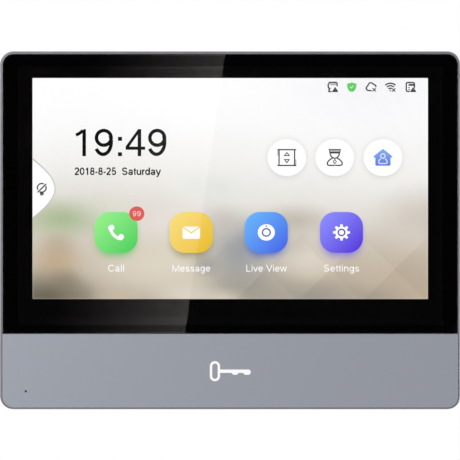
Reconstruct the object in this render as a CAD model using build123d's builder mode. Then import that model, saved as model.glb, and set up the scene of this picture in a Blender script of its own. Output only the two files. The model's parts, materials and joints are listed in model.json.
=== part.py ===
"""Wall-hung video intercom monitor: 10.1-inch touch screen station on a steel wall plate.

Frame: the wall is the plane Y = 0, the screen faces -Y, +X is right as the user sees it
and +Z is up. The origin is the centre of the wall plate's back face. Most pieces are flat
layers parallel to the wall, so they are drawn on planes named by their depth, the distance
in front of the wall. All sizes are in millimetres.
"""
from build123d import *
import os

os.makedirs("parts", exist_ok=True)

# ---- Driving dimensions -------------------------------------------------------------
BODY_W = 260.0
BODY_H = 202.0
BODY_R = 7.6
RIM = 1.5                       # visible width of the frame's edge beside the glass
PANEL_RIM_SIDE = 1.2            # the same beside the lower panel, and below it
PANEL_RIM_BOTTOM = 0.75
RIM_CHAMFER = 0.55
FIT = 0.1                       # gap between pieces that sit beside each other

# Depths in front of the wall
HOUSING_BACK = 0.5
HOUSING_WALL = 2.0
RECESS_FLOOR = 4.5
BOARD_BACK = 11.5
BOARD_T = 1.6
FLANGE_BACK = 12.0
FLANGE_FRONT = 14.0
CHASSIS_BACK = 20.9
CHASSIS_FRONT = 22.9
FRAME_FRONT = 24.8
GLASS_BACK = 23.4
GLASS_FRONT = 25.0
PANEL_BACK = 23.2

# Cover glass over the 10.1-inch wide screen
GLASS_W = BODY_W - 2 * RIM - FIT
GLASS_H = 157.8
GLASS_Z = BODY_H / 2 - RIM - FIT / 2 - GLASS_H / 2
GLASS_BOTTOM_R = 0.6
GLASS_CHAMFER = 0.2

# Lower panel with its lit key mark and microphone hole
SEAM = 0.12
PANEL_TOP = GLASS_Z - GLASS_H / 2 - SEAM
PANEL_BOTTOM = -BODY_H / 2 + PANEL_RIM_BOTTOM + FIT / 2
PANEL_W = BODY_W - 2 * PANEL_RIM_SIDE - FIT
PANEL_H = PANEL_TOP - PANEL_BOTTOM
PANEL_Z = (PANEL_TOP + PANEL_BOTTOM) / 2
PANEL_R = BODY_R - PANEL_RIM_SIDE - FIT / 2
PANEL_CHAMFER = 0.2
KEY_Z = -79.5
KEY_WINDOW = (40.0, 20.0)
MIC = (-115.4, -90.9)
MIC_HOLE_R = 0.6
MIC_BOOT_R = 4.2

# Liquid crystal display module
LCD_W = 235.0
LCD_H = 141.0
LCD_Z = 21.0
TRAY_BACK = 17.6
TRAY_FRONT = 22.3
TRAY_SHEET = 0.6
LCD_WINDOW_W = 238.0
LCD_WINDOW_BOTTOM = -53.5
LCD_WINDOW_TOP = 92.5

# Rear housing
FLANGE_W = BODY_W - 2 * RIM - 2 * FIT
FLANGE_H = BODY_H - 2 * RIM - 2 * FIT
BULGE_W = 232.0
BULGE_H = 174.0
BULGE_R = 12.0
BULGE_EDGE = 3.0

# Wall plate, its hooks and the travel that frees the monitor from them
PLATE_W = 150.0
PLATE_H = 100.0
PLATE_T = 1.5
PLATE_R = 6.0
CABLE_WINDOW = (46.0, 56.0)
BOX_SPACING = 60.0
GANG_SPACING = 83.3
WALL_SPACING = (126.0, 76.0)
BOX_HOLE_R = 2.1
WALL_HOLE_R = 2.25
LIFT = 8.0
HOOK_X = 46.0
HOOK_BOTTOMS = (34.0, -44.0)
HOOK_W = 8.0
HOOK_LIP = 6.0
HOOK_GAP = 0.4

# Connector bay in the back
BAY_W = 84.0
BAY_H = 54.0
BAY_Z = -5.0
BAY_WALL = 1.2

# Main circuit board
BOARD_W = 148.0
BOARD_H = 100.0
BOARD_Z = 12.0
BOARD_FRONT = BOARD_BACK + BOARD_T
BOARD_SCREWS = [(68.0, -32.0), (-68.0, -32.0), (68.0, 56.0), (-68.0, 56.0)]

# Loudspeaker
SPEAKER = (96.0, -45.0)
SPEAKER_FLANGE = 34.0
SPEAKER_HOLE = 14.5
SPEAKER_FRONT = 3.3
SPEAKER_BACK = 9.5
SPEAKER_POST_R = 2.2
SPEAKER_PILOT_R = 0.8
SPEAKER_PILOT_DEPTH = 1.8

# Screws that hold the rear housing to the front frame
HOUSING_SCREWS = [(122.5, 94.0), (-122.5, 94.0), (122.5, 0.0), (-122.5, 0.0), (122.5, -76.0),
                  (-122.5, -76.0), (0.0, 96.0), (60.0, -95.0), (-60.0, -95.0)]
BOSS_R = 3.3
THREAD_R = 1.2
FRAME_SCREW_DEPTH = 5.5
PILOT_R = 1.0
PILOT_DEPTH = 1.6

# Antenna inserts in the frame's two sides
INSERT_Z = 87.0
INSERT_H = 3.4
INSERT_BACK = 21.9

pieces = []


# ---- Shared shapes ------------------------------------------------------------------
def at(depth):
    """Plane parallel to the wall at a depth in front of it; its normal faces the room."""
    return Plane.XZ.offset(depth)


def finish(piece, label):
    """Name a finished sub-part and put it on the list that is written out."""
    piece.part.label = label
    pieces.append(piece)


def slab(size, centre, back, front, radius=0.0):
    """Flat sub-part between two depths, with its corners rounded if a radius is given."""
    with BuildPart() as flat:
        with BuildSketch(at(back)):
            with Locations(centre):
                if radius:
                    RectangleRounded(size[0], size[1], radius)
                else:
                    Rectangle(size[0], size[1])
        extrude(amount=front - back)
    return flat


def slabs(size, centres, back, front):
    """Several equal flat blocks in one node."""
    with BuildPart() as blocks:
        with BuildSketch(at(back)):
            with Locations(*centres):
                Rectangle(size[0], size[1])
        extrude(amount=front - back)
    return blocks


def screws(centres, seat, head_r, head_h, shank_r, length, towards_room=True):
    """Equal pan-head screws under one name, each with a cross recess in its head."""
    way = 1 if towards_room else -1
    with BuildPart() as group:
        with BuildSketch(at(seat)):
            with Locations(*centres):
                Circle(head_r)
        extrude(amount=-way * head_h)
        with BuildSketch(at(seat)):
            with Locations(*centres):
                Circle(shank_r)
        extrude(amount=way * length)
        with BuildSketch(at(seat - way * head_h)):
            with Locations(*centres):
                Rectangle(head_r * 1.2, head_r * 0.3)
                Rectangle(head_r * 0.3, head_r * 1.2)
        extrude(amount=way * head_h * 0.55, mode=Mode.SUBTRACT)
    return group


def ribbon(route, bends, x, width, thickness):
    """Flat flexible cable across X whose side view follows (z, depth) points with arcs."""
    with BuildPart() as cable:
        with BuildLine() as path:
            FilletPolyline(*[(x, -depth, z) for z, depth in route], radius=bends)
        start = path.line @ 0
        with BuildSketch(Plane(origin=start, x_dir=(1, 0, 0), z_dir=path.line % 0)):
            Rectangle(width, thickness)
        sweep(path=path.line)
    return cable


def lead(route, bends, diameter):
    """Round cable through (x, z, depth) points, with one arc radius for each corner."""
    with BuildPart() as cable:
        with BuildLine() as path:
            FilletPolyline(*[(x, -depth, z) for x, z, depth in route], radius=bends)
        with BuildSketch(Plane(origin=path.line @ 0, z_dir=path.line % 0)):
            Circle(diameter / 2)
        sweep(path=path.line)
    return cable


# ---- Wall plate ---------------------------------------------------------------------
HOOK_BACK = RECESS_FLOOR + HOUSING_WALL + HOOK_GAP
HOOK_FRONT = HOOK_BACK + PLATE_T
LANCE_H = 11.5
LANCE_SIDE = 0.5

with BuildPart() as wall_plate:
    with BuildSketch(at(0)):
        RectangleRounded(PLATE_W, PLATE_H, PLATE_R)
        RectangleRounded(*CABLE_WINDOW, 3, mode=Mode.SUBTRACT)
        with GridLocations(BOX_SPACING, 0, 2, 1):
            Circle(BOX_HOLE_R, mode=Mode.SUBTRACT)
        with GridLocations(0, GANG_SPACING, 1, 2):
            Circle(BOX_HOLE_R, mode=Mode.SUBTRACT)
        with GridLocations(*WALL_SPACING, 2, 2):
            Circle(WALL_HOLE_R, mode=Mode.SUBTRACT)
        # Openings that the hooks are lanced from, each just above its hook's neck
        for hook_z in HOOK_BOTTOMS:
            with Locations((-HOOK_X, hook_z + (PLATE_T + LANCE_H) / 2),
                           (HOOK_X, hook_z + (PLATE_T + LANCE_H) / 2)):
                Rectangle(HOOK_W + 2 * LANCE_SIDE, LANCE_H - PLATE_T, mode=Mode.SUBTRACT)
    extrude(amount=PLATE_T)
    for hook_z in HOOK_BOTTOMS:
        for side in (-1, 1):
            with BuildSketch(at(PLATE_T)):
                with Locations((side * HOOK_X, hook_z + PLATE_T / 2)):
                    Rectangle(HOOK_W, PLATE_T)
            extrude(amount=HOOK_FRONT - PLATE_T)
            with BuildSketch(at(HOOK_BACK)):
                with Locations((side * HOOK_X, hook_z + (PLATE_T + HOOK_LIP) / 2)):
                    Rectangle(HOOK_W, PLATE_T + HOOK_LIP)
            extrude(amount=PLATE_T)
finish(wall_plate, "wall_plate")

# ---- Rear housing -------------------------------------------------------------------
FLOOR_FRONT = RECESS_FLOOR + HOUSING_WALL
RECESS_W = PLATE_W + 2
RECESS_TOP = PLATE_H / 2 + 1
RECESS_BOTTOM = -PLATE_H / 2 - LIFT - 1
RECESS_H = RECESS_TOP - RECESS_BOTTOM
RECESS_Z = (RECESS_TOP + RECESS_BOTTOM) / 2
SLOT_GAP = 0.1
SLOT_BELOW = LIFT + 0.5
SLOT_H = PLATE_T + SLOT_GAP + SLOT_BELOW
SLOT_W = HOOK_W + 2
VENT_W = 2.0
VENT_L = 6.0
VENT_PITCH = 5.0
VENT_COUNT = 19
VENT_DEPTH = 7.5
GRILLE_HOLE_R = 0.9
GRILLE_RINGS = [(2.9, 6), (5.8, 12), (8.7, 18), (11.6, 24)]
SCREW_CLEAR_R = 1.6
BOARD_SCREW_DEPTH = 4.5

with BuildPart() as rear_housing:
    with BuildSketch(at(FLANGE_BACK)):
        RectangleRounded(FLANGE_W, FLANGE_H, BODY_R - RIM - FIT)
    extrude(amount=FLANGE_FRONT - FLANGE_BACK)
    with BuildSketch(at(HOUSING_BACK)):
        RectangleRounded(BULGE_W, BULGE_H, BULGE_R)
    extrude(amount=FLANGE_BACK - HOUSING_BACK)
    fillet(rear_housing.faces().sort_by(Axis.Y)[-1].outer_wire().edges(), BULGE_EDGE)
    with BuildSketch(at(HOUSING_BACK + HOUSING_WALL)):
        RectangleRounded(BULGE_W - 2 * HOUSING_WALL, BULGE_H - 2 * HOUSING_WALL,
                         BULGE_R - HOUSING_WALL)
    extrude(amount=FLANGE_FRONT - HOUSING_BACK - HOUSING_WALL, mode=Mode.SUBTRACT)
    # Tray behind the wall plate's recess, skirt of the connector bay and board bosses
    with BuildSketch(at(HOUSING_BACK + HOUSING_WALL)):
        with Locations((0, RECESS_Z)):
            Rectangle(RECESS_W + 2 * HOUSING_WALL, RECESS_H + 2 * HOUSING_WALL)
    extrude(amount=FLOOR_FRONT - HOUSING_BACK - HOUSING_WALL)
    with BuildSketch(at(FLOOR_FRONT)):
        with Locations((0, BAY_Z)):
            Rectangle(BAY_W + 2 * BAY_WALL, BAY_H + 2 * BAY_WALL)
    extrude(amount=BOARD_BACK - FIT - FLOOR_FRONT)
    with BuildSketch(at(HOUSING_BACK + HOUSING_WALL)):
        with Locations(*BOARD_SCREWS):
            Circle(BOSS_R)
    extrude(amount=BOARD_BACK - HOUSING_BACK - HOUSING_WALL)
    with BuildSketch(at(BOARD_BACK)):
        with Locations(*BOARD_SCREWS):
            Circle(THREAD_R)
    extrude(amount=-BOARD_SCREW_DEPTH, mode=Mode.SUBTRACT)
    # Recess for the plate, bay opening and hook slots
    with BuildSketch(at(HOUSING_BACK)):
        with Locations((0, RECESS_Z)):
            RectangleRounded(RECESS_W, RECESS_H, PLATE_R)
    extrude(amount=RECESS_FLOOR - HOUSING_BACK, mode=Mode.SUBTRACT)
    with BuildSketch(at(HOUSING_BACK)):
        with Locations((0, BAY_Z)):
            Rectangle(BAY_W, BAY_H)
    extrude(amount=BOARD_BACK - HOUSING_BACK, mode=Mode.SUBTRACT)
    with BuildSketch(at(RECESS_FLOOR)):
        for hook_z in HOOK_BOTTOMS:
            slot_z = hook_z - SLOT_BELOW + SLOT_H / 2
            with Locations((-HOOK_X, slot_z), (HOOK_X, slot_z)):
                Rectangle(SLOT_W, SLOT_H)
    extrude(amount=HOUSING_WALL, mode=Mode.SUBTRACT)
    # Vents through the top and bottom walls
    for wall_z in (BULGE_H / 2, -BULGE_H / 2):
        with BuildSketch(Plane.XY.offset(wall_z)):
            with Locations((0, -VENT_DEPTH)):
                with GridLocations(VENT_PITCH, 0, VENT_COUNT, 1):
                    SlotOverall(VENT_L, VENT_W, rotation=90)
        extrude(amount=HOUSING_WALL + 1, both=True, mode=Mode.SUBTRACT)
    # Loudspeaker grille and screw holes
    with BuildSketch(at(HOUSING_BACK)):
        with Locations(SPEAKER):
            Circle(GRILLE_HOLE_R)
            for ring_r, count in GRILLE_RINGS:
                with PolarLocations(ring_r, count):
                    Circle(GRILLE_HOLE_R)
    extrude(amount=HOUSING_WALL, mode=Mode.SUBTRACT)
    with BuildSketch(at(HOUSING_BACK + HOUSING_WALL)):
        with Locations(SPEAKER):
            with GridLocations(2 * SPEAKER_HOLE, 2 * SPEAKER_HOLE, 2, 2):
                Circle(SPEAKER_POST_R)
    extrude(amount=SPEAKER_FRONT - HOUSING_BACK - HOUSING_WALL)
    with BuildSketch(at(SPEAKER_FRONT)):
        with Locations(SPEAKER):
            with GridLocations(2 * SPEAKER_HOLE, 2 * SPEAKER_HOLE, 2, 2):
                Circle(SPEAKER_PILOT_R)
    extrude(amount=-SPEAKER_PILOT_DEPTH, mode=Mode.SUBTRACT)
    with BuildSketch(at(FLANGE_BACK)):
        with Locations(*HOUSING_SCREWS):
            Circle(SCREW_CLEAR_R)
    extrude(amount=FLANGE_FRONT - FLANGE_BACK, mode=Mode.SUBTRACT)
finish(rear_housing, "rear_housing")

# ---- Front frame --------------------------------------------------------------------
INNER_W = BODY_W - 2 * RIM
INNER_H = BODY_H - 2 * RIM
LCD_WINDOW_H = LCD_WINDOW_TOP - LCD_WINDOW_BOTTOM
LCD_WINDOW_Z = (LCD_WINDOW_TOP + LCD_WINDOW_BOTTOM) / 2
CLIP_ZS = (55.0, -20.0)
CLIP_SCREW_X = 123.6
KEY_BOARD_SCREWS = [(28.0, KEY_Z), (-28.0, KEY_Z)]

with BuildPart() as front_frame:
    with BuildSketch(at(FLANGE_BACK)):
        RectangleRounded(BODY_W, BODY_H, BODY_R)
        RectangleRounded(INNER_W, INNER_H, BODY_R - RIM, mode=Mode.SUBTRACT)
    extrude(amount=FRAME_FRONT - FLANGE_BACK)
    chamfer(front_frame.faces().sort_by(Axis.Y)[0].outer_wire().edges(), RIM_CHAMFER)
    with BuildSketch(at(CHASSIS_BACK)):
        RectangleRounded(INNER_W, INNER_H, BODY_R - RIM)
        with Locations((0, LCD_WINDOW_Z)):
            Rectangle(LCD_WINDOW_W, LCD_WINDOW_H, mode=Mode.SUBTRACT)
        with Locations((0, KEY_Z)):
            Rectangle(*KEY_WINDOW, mode=Mode.SUBTRACT)
        with Locations(MIC):
            Circle(MIC_BOOT_R + FIT, mode=Mode.SUBTRACT)
    extrude(amount=CHASSIS_FRONT - CHASSIS_BACK)
    with BuildSketch(at(FLANGE_FRONT)):
        with Locations(*HOUSING_SCREWS):
            Circle(BOSS_R)
    extrude(amount=CHASSIS_BACK - FLANGE_FRONT)
    with BuildSketch(at(FLANGE_FRONT)):
        with Locations(*HOUSING_SCREWS):
            Circle(THREAD_R)
    extrude(amount=FRAME_SCREW_DEPTH, mode=Mode.SUBTRACT)
    with BuildSketch(at(CHASSIS_BACK)):
        for clip_z in CLIP_ZS:
            with Locations((-CLIP_SCREW_X, clip_z), (CLIP_SCREW_X, clip_z)):
                Circle(PILOT_R)
        with Locations(*KEY_BOARD_SCREWS):
            Circle(PILOT_R)
    extrude(amount=PILOT_DEPTH, mode=Mode.SUBTRACT)
    # Shallow pocket that lets the lower panel run closer to the frame's outer edge
    with BuildSketch(at(CHASSIS_FRONT)) as pocket:
        with Locations((0, PANEL_Z)):
            Rectangle(PANEL_W + FIT, PANEL_H + FIT)
        fillet(pocket.vertices().group_by(Axis.Y)[0], PANEL_R + FIT / 2)
    extrude(amount=FRAME_FRONT - CHASSIS_FRONT, mode=Mode.SUBTRACT)
    for side in (-1, 1):
        with BuildSketch(Plane.XY.offset(INSERT_Z - INSERT_H / 2)):
            with Locations((side * (BODY_W - RIM) / 2, -(INSERT_BACK + FRAME_FRONT) / 2)):
                Rectangle(RIM, FRAME_FRONT - INSERT_BACK)
        extrude(amount=INSERT_H, mode=Mode.SUBTRACT)
finish(front_frame, "front_frame")


def side_insert(side):
    """Plastic strip that fills one antenna gap in the frame's side, flush all round."""
    with BuildPart() as insert:
        with BuildSketch(Plane.XY.offset(INSERT_Z - INSERT_H / 2 + FIT / 2)):
            with Locations((side * (BODY_W - RIM) / 2, -(INSERT_BACK + FRAME_FRONT) / 2)):
                Rectangle(RIM - FIT, FRAME_FRONT - INSERT_BACK - FIT)
        extrude(amount=INSERT_H - FIT)
        outer = insert.faces().sort_by(Axis.X)[-1 if side > 0 else 0]
        chamfer(outer.edges().sort_by(Axis.Y)[0], RIM_CHAMFER - FIT / 2)
    return insert


for side, side_name in ((-1, "left"), (1, "right")):
    finish(side_insert(side), f"side_insert_{side_name}")

# ---- Cover glass, its adhesive and the touch sensor ---------------------------------
GLASS_TOP_R = BODY_R - RIM - FIT / 2

with BuildPart() as cover_glass:
    with BuildSketch(at(GLASS_BACK)) as glass_outline:
        with Locations((0, GLASS_Z)):
            Rectangle(GLASS_W, GLASS_H)
        corners = glass_outline.vertices().group_by(Axis.Y)
        fillet(corners[-1], GLASS_TOP_R)
        fillet(glass_outline.vertices().group_by(Axis.Y)[0], GLASS_BOTTOM_R)
    extrude(amount=GLASS_FRONT - GLASS_BACK)
    chamfer(cover_glass.faces().sort_by(Axis.Y)[0].outer_wire().edges(), GLASS_CHAMFER)
finish(cover_glass, "cover_glass")

TOUCH_W = 236.0
TOUCH_H = 140.0
TOUCH_T = 0.4
with BuildPart() as glass_adhesive:
    with BuildSketch(at(CHASSIS_FRONT)):
        with Locations((0, GLASS_Z)):
            RectangleRounded(GLASS_W - 2, GLASS_H - 2, 5)
        with Locations((0, LCD_WINDOW_Z)):
            Rectangle(LCD_WINDOW_W + 2, LCD_WINDOW_H, mode=Mode.SUBTRACT)
    extrude(amount=GLASS_BACK - CHASSIS_FRONT)
finish(glass_adhesive, "glass_adhesive")

finish(slab((TOUCH_W, TOUCH_H), (0, LCD_Z), GLASS_BACK - TOUCH_T, GLASS_BACK), "touch_sensor")

FLEX_T = 0.2
CONNECTOR_Z = -35.0
FLEX_END_Z = CONNECTOR_Z - 2.0
FLEX_END_DEPTH = BOARD_FRONT + 1.0
touch_flex = ribbon([(LCD_Z - TOUCH_H / 2 + 3, GLASS_BACK - TOUCH_T - FLEX_T / 2),
                     (-52.3, GLASS_BACK - TOUCH_T - FLEX_T / 2),
                     (-52.3, FLEX_END_DEPTH),
                     (FLEX_END_Z, FLEX_END_DEPTH)], 1.5, 45.0, 18.0, FLEX_T)
finish(touch_flex, "touch_flex")

# ---- Lower panel, lit key mark and microphone ---------------------------------------
# Key mark: an upright stadium ring for the bow, a bar, and two rounded bits under it
KEY_LEFT = -11.55
BOW_W = 5.75
BOW_H = 11.3
BOW_STROKE = 1.35
BAR_H = 1.85
BAR_END = 10.0
BIT_DROP = 1.1
BIT_R = 1.4
BITS = [(0.8, 4.6), (7.3, 11.5)]       # left and right ends of each bit along X


def key_outline(grow=0.0):
    """Solid outline of the key mark, made larger all round by grow."""
    bow_x = KEY_LEFT + BOW_W / 2
    with BuildSketch() as outline:
        with Locations((bow_x, KEY_Z)):
            SlotOverall(BOW_H + 2 * grow, BOW_W + 2 * grow, rotation=90)
        bar_left = KEY_LEFT + BOW_W - BOW_STROKE / 2
        with Locations(((bar_left + BAR_END) / 2, KEY_Z)):
            SlotOverall(BAR_END - bar_left + 2 * grow, BAR_H + 2 * grow)
        for left, right in BITS:
            with Locations(((left + right) / 2, KEY_Z - BIT_DROP / 2)):
                RectangleRounded(right - left + 2 * grow, BAR_H + BIT_DROP + 2 * grow, BIT_R)
    return outline.sketch


def bow_hole(grow=0.0):
    """Inside of the key's bow, made larger all round by grow."""
    with BuildSketch() as hole:
        with Locations((KEY_LEFT + BOW_W / 2, KEY_Z)):
            SlotOverall(BOW_H - 2 * BOW_STROKE + 2 * grow, BOW_W - 2 * BOW_STROKE + 2 * grow,
                        rotation=90)
    return hole.sketch


MARK_GAP = 0.03
with BuildPart() as front_panel:
    with BuildSketch(at(PANEL_BACK)) as panel_outline:
        with Locations((0, PANEL_Z)):
            Rectangle(PANEL_W, PANEL_H)
        fillet(panel_outline.vertices().group_by(Axis.Y)[0], PANEL_R)
        add(key_outline(MARK_GAP), mode=Mode.SUBTRACT)
        with Locations(MIC):
            Circle(MIC_HOLE_R, mode=Mode.SUBTRACT)
    extrude(amount=FRAME_FRONT - PANEL_BACK)
    chamfer(front_panel.faces().sort_by(Axis.Y)[0].outer_wire().edges(), PANEL_CHAMFER)
finish(front_panel, "front_panel")

with BuildPart() as panel_adhesive:
    with BuildSketch(at(CHASSIS_FRONT)):
        with Locations((0, PANEL_Z)):
            Rectangle(GLASS_W - 16, PANEL_H - 4)
        with Locations((0, KEY_Z)):
            Rectangle(*KEY_WINDOW, mode=Mode.SUBTRACT)
        with Locations(MIC):
            Circle(MIC_BOOT_R + FIT, mode=Mode.SUBTRACT)
    extrude(amount=PANEL_BACK - CHASSIS_FRONT)
finish(panel_adhesive, "panel_adhesive")

GUIDE_FLANGE = (34.0, 16.0)
GUIDE_FLANGE_T = 1.3
with BuildPart() as key_light_guide:
    with BuildSketch(at(PANEL_BACK - GUIDE_FLANGE_T)):
        with Locations((0, KEY_Z)):
            RectangleRounded(*GUIDE_FLANGE, 2)
    extrude(amount=GUIDE_FLANGE_T)
    with BuildSketch(at(PANEL_BACK)):
        add(key_outline())
        add(bow_hole(MARK_GAP), mode=Mode.SUBTRACT)
    extrude(amount=FRAME_FRONT - PANEL_BACK)
finish(key_light_guide, "key_light_guide")

with BuildPart() as key_bow_inlay:
    with BuildSketch(at(PANEL_BACK)):
        add(bow_hole())
    extrude(amount=FRAME_FRONT - PANEL_BACK)
finish(key_bow_inlay, "key_bow_inlay")

KEY_BOARD_T = 1.6
KEY_BOARD_BACK = CHASSIS_BACK - KEY_BOARD_T
with BuildPart() as key_board:
    with BuildSketch(at(KEY_BOARD_BACK)):
        with Locations((0, KEY_Z)):
            RectangleRounded(66, 26, 2)
        with Locations(*KEY_BOARD_SCREWS):
            Circle(1.3, mode=Mode.SUBTRACT)
    extrude(amount=KEY_BOARD_T)
finish(key_board, "key_board")
finish(slabs((1.6, 2.8), [(x, KEY_Z) for x in (-9.0, -3.0, 3.0, 9.0)],
             CHASSIS_BACK, CHASSIS_BACK + 0.8), "key_leds")
finish(screws(KEY_BOARD_SCREWS, KEY_BOARD_BACK, 2.2, 1.4, 0.95, 3.0), "key_board_screws")

KEY_FLEX_END = -68.0
key_flex = ribbon([(KEY_FLEX_END, KEY_BOARD_BACK - FLEX_T / 2),
                   (-60.0, KEY_BOARD_BACK - FLEX_T / 2),
                   (-54.0, FLEX_END_DEPTH),
                   (FLEX_END_Z, FLEX_END_DEPTH)], 2.0, 22.0, 10.0, FLEX_T)
finish(key_flex, "key_flex")

BOOT_BACK = 18.5
MIC_R = 3.0
MIC_BACK = 19.2
MIC_FRONT = 21.6
with BuildPart() as mic_boot:
    with BuildSketch(at(BOOT_BACK)):
        with Locations(MIC):
            Circle(MIC_BOOT_R)
    extrude(amount=PANEL_BACK - BOOT_BACK)
    with BuildSketch(at(BOOT_BACK)):
        with Locations(MIC):
            Circle(MIC_R)
    extrude(amount=MIC_FRONT - BOOT_BACK, mode=Mode.SUBTRACT)
    with BuildSketch(at(MIC_FRONT)):
        with Locations(MIC):
            Circle(MIC_HOLE_R)
    extrude(amount=PANEL_BACK - MIC_FRONT, mode=Mode.SUBTRACT)
finish(mic_boot, "mic_boot")

with BuildPart() as microphone:
    with BuildSketch(at(MIC_BACK)):
        with Locations(MIC):
            Circle(MIC_R)
    extrude(amount=MIC_FRONT - MIC_BACK)
finish(microphone, "microphone")

mic_lead = lead([(MIC[0], MIC[1], MIC_BACK), (MIC[0], MIC[1], 16.6), (-100.0, -88.0, 16.6),
                 (-58.0, -82.0, 16.6), (-42.0, -79.0, 18.4), (-31.5, -79.0, 18.4)],
                [2.0, 12.0, 8.0, 8.0], 1.2)
finish(mic_lead, "mic_lead")

# ---- Display module -----------------------------------------------------------------
MOULD_WALL = 4.0
MOULD_FRONT = 21.0
REFLECTOR_T = 0.2
FILM_T = 0.2
STRIP_H = 1.0
LED_H = 1.2
tray_in_w = LCD_W - 2 * TRAY_SHEET
tray_in_h = LCD_H - 2 * TRAY_SHEET
stack_back = TRAY_BACK + TRAY_SHEET
stack_w = tray_in_w - 2 * MOULD_WALL - 2 * FIT
stack_h = tray_in_h - 2 * MOULD_WALL - 2 * FIT
FLEX_NOTCH = (44.0, 1.2)

with BuildPart() as lcd_tray:
    with BuildSketch(at(TRAY_BACK)):
        with Locations((0, LCD_Z)):
            RectangleRounded(LCD_W, LCD_H, 1.0)
    extrude(amount=TRAY_FRONT - TRAY_BACK)
    with BuildSketch(at(stack_back)):
        with Locations((0, LCD_Z)):
            Rectangle(tray_in_w, tray_in_h)
    extrude(amount=TRAY_FRONT - stack_back, mode=Mode.SUBTRACT)
    with BuildSketch(at(MOULD_FRONT)):
        with Locations((-5, LCD_Z - LCD_H / 2)):
            Rectangle(FLEX_NOTCH[0], 2 * FLEX_NOTCH[1])
    extrude(amount=TRAY_FRONT - MOULD_FRONT, mode=Mode.SUBTRACT)
finish(lcd_tray, "lcd_tray")

with BuildPart() as lcd_mould_frame:
    with BuildSketch(at(stack_back)):
        with Locations((0, LCD_Z)):
            Rectangle(tray_in_w - 2 * FIT, tray_in_h - 2 * FIT)
            Rectangle(stack_w + 2 * FIT, stack_h + 2 * FIT, mode=Mode.SUBTRACT)
    extrude(amount=MOULD_FRONT - stack_back)
finish(lcd_mould_frame, "lcd_mould_frame")

GUIDE_BACK = stack_back + REFLECTOR_T
DIFFUSER_BACK = MOULD_FRONT - 2 * FILM_T
strip_low = LCD_Z - stack_h / 2
led_low = strip_low + STRIP_H
guide_low = led_low + LED_H + FIT
guide_top = LCD_Z + stack_h / 2
guide_h = guide_top - guide_low
film_size = (stack_w, stack_h)
finish(slab(film_size, (0, LCD_Z), stack_back, GUIDE_BACK), "reflector_sheet")
finish(slab((stack_w, guide_h), (0, guide_low + guide_h / 2), GUIDE_BACK, DIFFUSER_BACK),
       "light_guide")
FILM_GAP = 0.02
with BuildPart() as optical_films:
    for film_back in (DIFFUSER_BACK, DIFFUSER_BACK + FILM_T + FILM_GAP):
        with BuildSketch(at(film_back)):
            with Locations((0, LCD_Z)):
                Rectangle(*film_size)
        extrude(amount=FILM_T - FILM_GAP)
finish(optical_films, "optical_films")
finish(slab((stack_w - 4, STRIP_H), (0, strip_low + STRIP_H / 2), GUIDE_BACK, DIFFUSER_BACK),
       "backlight_strip")

LED_COUNT = 24
LED_PITCH = (stack_w - 16) / (LED_COUNT - 1)
led_centres = [((n - (LED_COUNT - 1) / 2) * LED_PITCH, led_low + LED_H / 2)
               for n in range(LED_COUNT)]
finish(slabs((3.5, LED_H), led_centres, GUIDE_BACK + 0.3, DIFFUSER_BACK - 0.3), "backlight_leds")

CELL_W = tray_in_w - 1.0
CELL_H = tray_in_h - 1.0
finish(slab((CELL_W, CELL_H), (0, LCD_Z), MOULD_FRONT, TRAY_FRONT), "lcd_cell")

cell_low = LCD_Z - CELL_H / 2
lcd_flex_depth = TRAY_FRONT - 0.5
lcd_flex = ribbon([(cell_low, lcd_flex_depth), (-52.3, lcd_flex_depth), (-52.3, FLEX_END_DEPTH),
                   (FLEX_END_Z, FLEX_END_DEPTH)], 1.5, -5.0, 36.0, FLEX_T)
finish(lcd_flex, "lcd_flex")

CLIP_T = 0.8
CLIP_L = 16.0
CLIP_INNER = 110.0
CLIP_RISER = 118.5
CLIP_OUTER = 127.0
CLIP_HOLE_R = 1.2
CLIP_SCREW_HEAD = (2.2, 1.4)
CLIP_SCREW_R = 0.95


clip_screw_centres = [(side * CLIP_SCREW_X, z) for side in (-1, 1) for z in CLIP_ZS]

# Stepped steel clips that hold the display module's back against the chassis
with BuildPart() as lcd_clips:
    for side in (-1, 1):
        for clip_z in CLIP_ZS:
            with BuildSketch(Plane.XY.offset(clip_z - CLIP_L / 2)):
                with BuildLine():
                    Polyline((side * CLIP_INNER, -TRAY_BACK),
                             (side * CLIP_RISER, -TRAY_BACK),
                             (side * CLIP_RISER, -CHASSIS_BACK),
                             (side * CLIP_OUTER, -CHASSIS_BACK),
                             (side * CLIP_OUTER, -CHASSIS_BACK + CLIP_T),
                             (side * (CLIP_RISER + CLIP_T), -CHASSIS_BACK + CLIP_T),
                             (side * (CLIP_RISER + CLIP_T), -TRAY_BACK + CLIP_T),
                             (side * CLIP_INNER, -TRAY_BACK + CLIP_T), close=True)
                make_face()
            extrude(amount=CLIP_L)
    with BuildSketch(at(CHASSIS_BACK)):
        with Locations(*clip_screw_centres):
            Circle(CLIP_HOLE_R)
    extrude(amount=-CLIP_T, mode=Mode.SUBTRACT)
finish(lcd_clips, "lcd_clips")
finish(screws(clip_screw_centres, CHASSIS_BACK - CLIP_T, *CLIP_SCREW_HEAD, CLIP_SCREW_R, 2.3),
       "lcd_clip_screws")

# ---- Main board and what is on it ---------------------------------------------------
JACK_W = 16.0
JACK_X = -22.0
JACK_LOW = 4.0
JACK_TOP = 20.0
JACK_BACK = 2.8
JACK_FRONT = 13.9
JACK_SOCKET = (11.8, 8.0)
JACK_SOCKET_DEPTH = 13.0
JACK_SOCKET_AT = 8.0

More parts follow.
